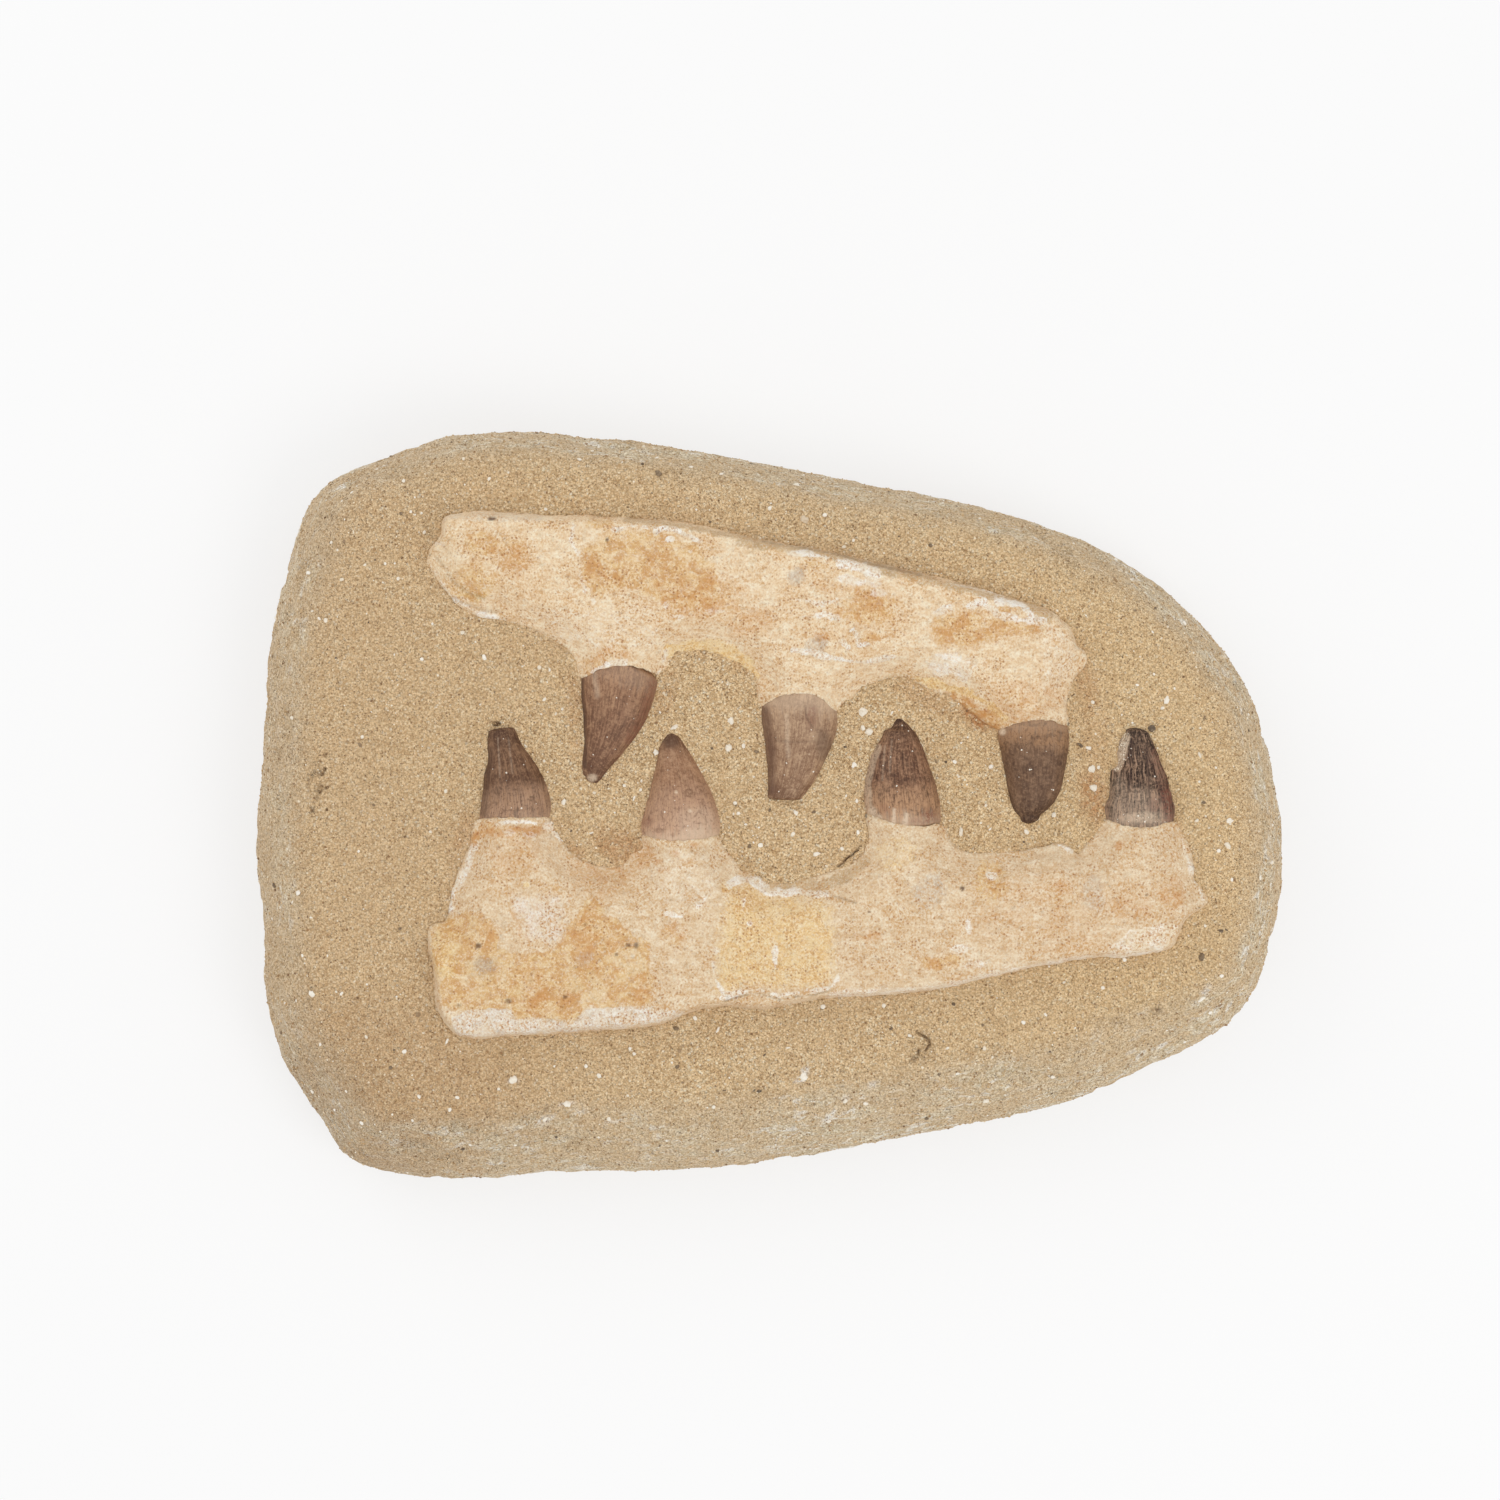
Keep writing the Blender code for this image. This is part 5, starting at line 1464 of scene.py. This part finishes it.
def bone_finish(name, deep, ground, light):
    r = Recipe(name)
    mottle = r.noise(9, 5, 0.62, warp=0.6)
    patch = r.noise(4.3, 5, 0.62, warp=0.8)
    fine = r.noise(2.2, 5, 0.66, r.stretched(0.6, 1.1, 1.0))
    sharp = r.noise(0.9, 4, 0.7)
    colour = r.ramp(fine, [(0.32, deep), (0.5, ground), (0.68, light)])
    colour = r.veiled(colour, (mottle, 0.42, 0.7, 0.5, deep))

    # Stains, broken up by the bone's grain
    uneven = r.minus(sharp, 0.5)
    blotched = r.level(r.plus(r.times(fine, 0.45), r.times(patch, 0.55)), 0.42, 0.58)
    for stain, thin, thick, ragged, share, patchy in BONE_STAIN_LOOKS:
        amount = r.attribute(stain)
        mask = r.times(r.level(r.plus(amount, r.times(uneven, ragged)), 0.2, 0.64), share)
        mask = r.times(mask, r.level(patch, 0.38, 0.58, 1.0 - patchy, 1.0))
        mask = r.times(mask, r.level(amount, 0.0, 0.1))
        colour = r.mix(mask, colour, r.mix(blotched, thin, thick))

    # Pale crumbs, then freckles and pinholes that are denser where there is rust
    salt = r.noise(0.55, 2, 0.6, r.stretched(1.0, 0.85, 1.0))
    crumbs = r.noise(1.5, 4, 0.65, warp=0.4)
    colour = r.veiled(
        colour, (salt, 0.52, 0.64, 0.4, tint(253, 243, 222)), (crumbs, 0.55, 0.66, 0.3, tint(250, 238, 214))
    )
    rust = r.attribute("rust")
    dense = r.least(r.plus(r.times(rust, 0.45), r.level(mottle, 0.38, 0.62, 0.28, 0.8)), 1.0)
    freckles = r.level(r.noise(0.8, 2, 0.6, warp=0.3), 0.53, 0.61)
    dome, own, _ = r.cells(1.1)
    pinholes = r.times(r.level(dome, 0.36, 0.2), r.level(own, 0.5, 0.55))
    spots = r.level(r.noise(1.5, 3, 0.62, warp=0.5), 0.63, 0.69)
    for pattern, often, over in (
        (r.level(salt, 0.5, 0.38), r.times(dense, 0.7), tint(212, 166, 108)),
        (freckles, r.times(dense, 0.8), tint(202, 148, 88)),
        (pinholes, dense, tint(172, 118, 72)),
        (rust, r.level(patch, 0.38, 0.62, 0.12, 0.78), tint(210, 148, 84)),
        (spots, r.plus(r.times(rust, 0.6), 0.14), tint(172, 112, 64)),
    ):
        colour = r.mix(r.times(pattern, often), colour, over)
    # Dark spots, and painted shade in the carved grooves and pits of the bones
    colour = r.mix(r.worn("dark", sharp, 0.3, 0.5, 0.6), colour, tint(100, 74, 54))
    relief = r.bump(fine, 0.55)
    relief = r.bump(sharp, 0.5, relief)
    return r.finish(colour, 0.85, relief)


# Colours of a crown's base, body, tip and streaks, where along it the base ends and the body starts,
# how strongly it is striped, how pale its foot is, and how deep its furrows are
CROWN_LOOKS = {
    "upper_tooth_1": (
        (162, 122, 93), (128, 91, 69), (90, 60, 44), (178, 140, 108), 0.05, 0.5, 0.35, 0.15, 0.06
    ),
    "upper_tooth_2": (
        (170, 138, 110), (153, 119, 92), (114, 82, 61), (198, 166, 134), 0.2, 0.75, 0.25, 0.35, 0.06
    ),
    "upper_tooth_3": (
        (168, 128, 93), (112, 83, 62), (70, 49, 38), (152, 121, 95), 0.16, 0.3, 0.12, 0.15, 0.06
    ),
    "lower_tooth_1": (
        (185, 149, 121), (110, 77, 55), (76, 50, 35), (160, 124, 94), 0.26, 0.44, 0.4, 0.15, 0.06
    ),
    "lower_tooth_2": (
        (202, 165, 138), (162, 121, 91), (106, 74, 53), (190, 153, 121), 0.15, 0.6, 0.14, 0.6, 0.06
    ),
    "lower_tooth_3": (
        (186, 144, 108), (120, 83, 61), (62, 40, 30), (180, 141, 110), 0.24, 0.42, 0.38, 0.4, 0.09
    ),
    "lower_tooth_4": (
        (160, 134, 114), (86, 63, 49), (38, 24, 18), (176, 143, 117), 0.16, 0.4, 0.95, 0.2, 0.2
    ),
}
# Lines over half the width of a crown, rows of them along it, and their detail
FIBRE, HAIR, GROWTH, BAND = (20.0, 2.6, 4), (44.0, 6.0, 2), (1.6, 14.0, 3), (4.5, 2.0, 3)


def crown_finish(name):
    *colours, base_end, body_start, striped, faded, _ = CROWN_LOOKS[name]
    base, body, tip, streak = (tint(*colour) for colour in colours)
    r = Recipe(f"{name}_enamel")
    along, across = r.attribute("along"), r.attribute("across")

    def lengthwise(lines, rows, detail):
        """Noise drawn out along the crown, with a number of lines over its half width."""
        where = r.put("ShaderNodeCombineXYZ", None, X=r.times(across, lines), Y=r.times(along, rows))
        return r.noise(1.0, detail, 0.62, where[0])

    fibre, hair, growth, band = (lengthwise(*facts) for facts in (FIBRE, HAIR, GROWTH, BAND))
    cloud = r.noise(6, 4, 0.6)
    sharp = r.noise(0.8, 4, 0.7)
    blotches = r.noise(3.2, 4, 0.66, warp=0.5)
    strayed = r.plus(r.times(r.minus(cloud, 0.5), 0.25), along)
    strayed = r.plus(r.times(r.minus(fibre, 0.5), 0.4), strayed)
    colour = r.veiled(
        r.ramp(strayed, [(0.0, base), (base_end, base), (body_start, body), (0.72, body), (1.0, tip)]),
        (band, 0.45, 0.7, 0.4, streak),
        (fibre, 0.5, 0.64, striped + 0.1, streak),
        (fibre, 0.54, 0.38, striped + 0.1, tip),
        (hair, 0.52, 0.38, 0.25 + 0.5 * striped, tip),
        (hair, 0.52, 0.66, 0.2 + 0.4 * striped, streak),
        (growth, 0.5, 0.66, 0.2, tip),
        (blotches, 0.52, 0.66, 0.4, streak),
        (blotches, 0.48, 0.36, 0.4, tip),
        (sharp, 0.52, 0.64, 0.5, streak),
        (sharp, 0.47, 0.36, 0.5, tip),
        (strayed, 0.12, -0.02, faded, tint(218, 192, 164)),
    )
    colour = r.mix(r.worn("russet", sharp, 0.42, 0.56, 0.1), colour, tint(112, 56, 44))
    colour = r.mix(r.worn("shade", sharp, 0.3, 0.6, 0.6), colour, tint(64, 44, 38))
    colour = r.mix(r.worn("pale", sharp, 0.35, 0.55, 0.4), colour, tint(220, 198, 172))
    relief = r.bump(fibre, 0.25)
    relief = r.bump(sharp, 0.1, relief)
    r.shader.inputs["Specular IOR Level"].default_value = 0.25
    return r.finish(colour, r.level(cloud, 0.3, 0.7, 0.46, 0.62), relief)


# Room

WHITE = (1.0, 1.0, 1.0, 1.0)
PAPER = (0.3, 0.3, 0.3, 1.0)
PAPER_GLOW = 0.65  # the floor's own light, which keeps it white round the block
SKY_LIGHT = 0.8
FLOOR_HALF = 4.0
CAMERA_PLACE = (-0.0060, 0.0169, 1.56)  # straight above a point a little right of the block's middle
CAMERA_LENS, CAMERA_SENSOR, FARTHEST = 120.0, 36.0, 50.0


def make_floor():
    bm = bmesh.new()
    bmesh.ops.create_grid(bm, x_segments=1, y_segments=1, size=FLOOR_HALF)
    mesh = bpy.data.meshes.new("floor")
    bm.to_mesh(mesh)
    bm.free()
    paper = bpy.data.materials.new("pale_paper")
    paper.use_nodes = True
    shader = paper.node_tree.nodes["Principled BSDF"]
    for socket, value in (
        ("Base Color", PAPER), ("Emission Color", WHITE), ("Emission Strength", PAPER_GLOW),
        ("Roughness", 0.95), ("Specular IOR Level", 0.1),
    ):
        shader.inputs[socket].default_value = value
    mesh.materials.append(paper)
    floor = put_in_scene("floor", mesh)


def soft_box(name, place, width, power):
    """A square soft light that faces the block."""
    light = bpy.data.lights.new(name, "AREA")
    light.size = width
    light.energy = power
    lamp = put_in_scene(name, light)
    lamp.location = place
    lamp.rotation_euler = Vector(place).to_track_quat("Z", "Y").to_euler()


def light_room():
    world = bpy.data.worlds.new("white_room")
    world.use_nodes = True
    sky = world.node_tree.nodes["Background"]
    sky.inputs["Color"].default_value = WHITE
    sky.inputs["Strength"].default_value = SKY_LIGHT
    bpy.context.scene.world = world
    soft_box("window_light", (0.9, -0.7, 1.6), 0.9, 8.5)
    soft_box("fill_light", (-1.1, 0.9, 1.0), 1.2, 5.0)
    bpy.context.scene.view_settings.view_transform = "Standard"


def look_down():
    lens = bpy.data.cameras.new("photo_view")
    lens.lens = CAMERA_LENS
    lens.sensor_width = CAMERA_SENSOR
    lens.clip_end = FARTHEST
    camera = put_in_scene("photo_view", lens)
    camera.location = CAMERA_PLACE
    bpy.context.scene.camera = camera


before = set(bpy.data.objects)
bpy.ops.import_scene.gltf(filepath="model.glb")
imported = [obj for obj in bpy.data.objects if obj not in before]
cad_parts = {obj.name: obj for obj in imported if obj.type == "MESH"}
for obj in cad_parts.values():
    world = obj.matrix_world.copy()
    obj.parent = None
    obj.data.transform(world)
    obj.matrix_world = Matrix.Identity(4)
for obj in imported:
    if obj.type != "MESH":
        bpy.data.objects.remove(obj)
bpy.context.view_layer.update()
make_floor()
light_room()
look_down()

upper = frayed(upper_loop(), UPPER_CROWNS, UPPER_CHIPPED)
lower = frayed(lower_loop(), LOWER_CROWNS, LOWER_CHIPPED)
sand = make_sand([upper, lower], UPPER_CROWNS + LOWER_CROWNS, sand_finish())
upper_finish = bone_finish("upper_bone_cream", tint(230, 196, 153), tint(244, 219, 182), tint(253, 240, 212))
lower_finish = bone_finish("lower_bone_cream", tint(219, 187, 147), tint(234, 209, 173), tint(247, 231, 203))
make_bone("upper_jaw_bone", upper, UPPER_CROWNS, UPPER_RIM, UPPER_MARKS, "upper_jaw", upper_finish)
make_bone("lower_jaw_bone", lower, LOWER_CROWNS, LOWER_RIM, LOWER_MARKS, "lower_jaw", lower_finish)
for node, crowns in (("upper_jaw", UPPER_CROWNS), ("lower_jaw", LOWER_CROWNS)):
    for seed, crown in enumerate(crowns):
        make_crown(crown, node, crown_finish(crown.name), seed, CROWN_LOOKS[crown.name][-1])
scatter(sand, [upper, lower], UPPER_CROWNS + LOWER_CROWNS, grain_finish(), bit_finish())
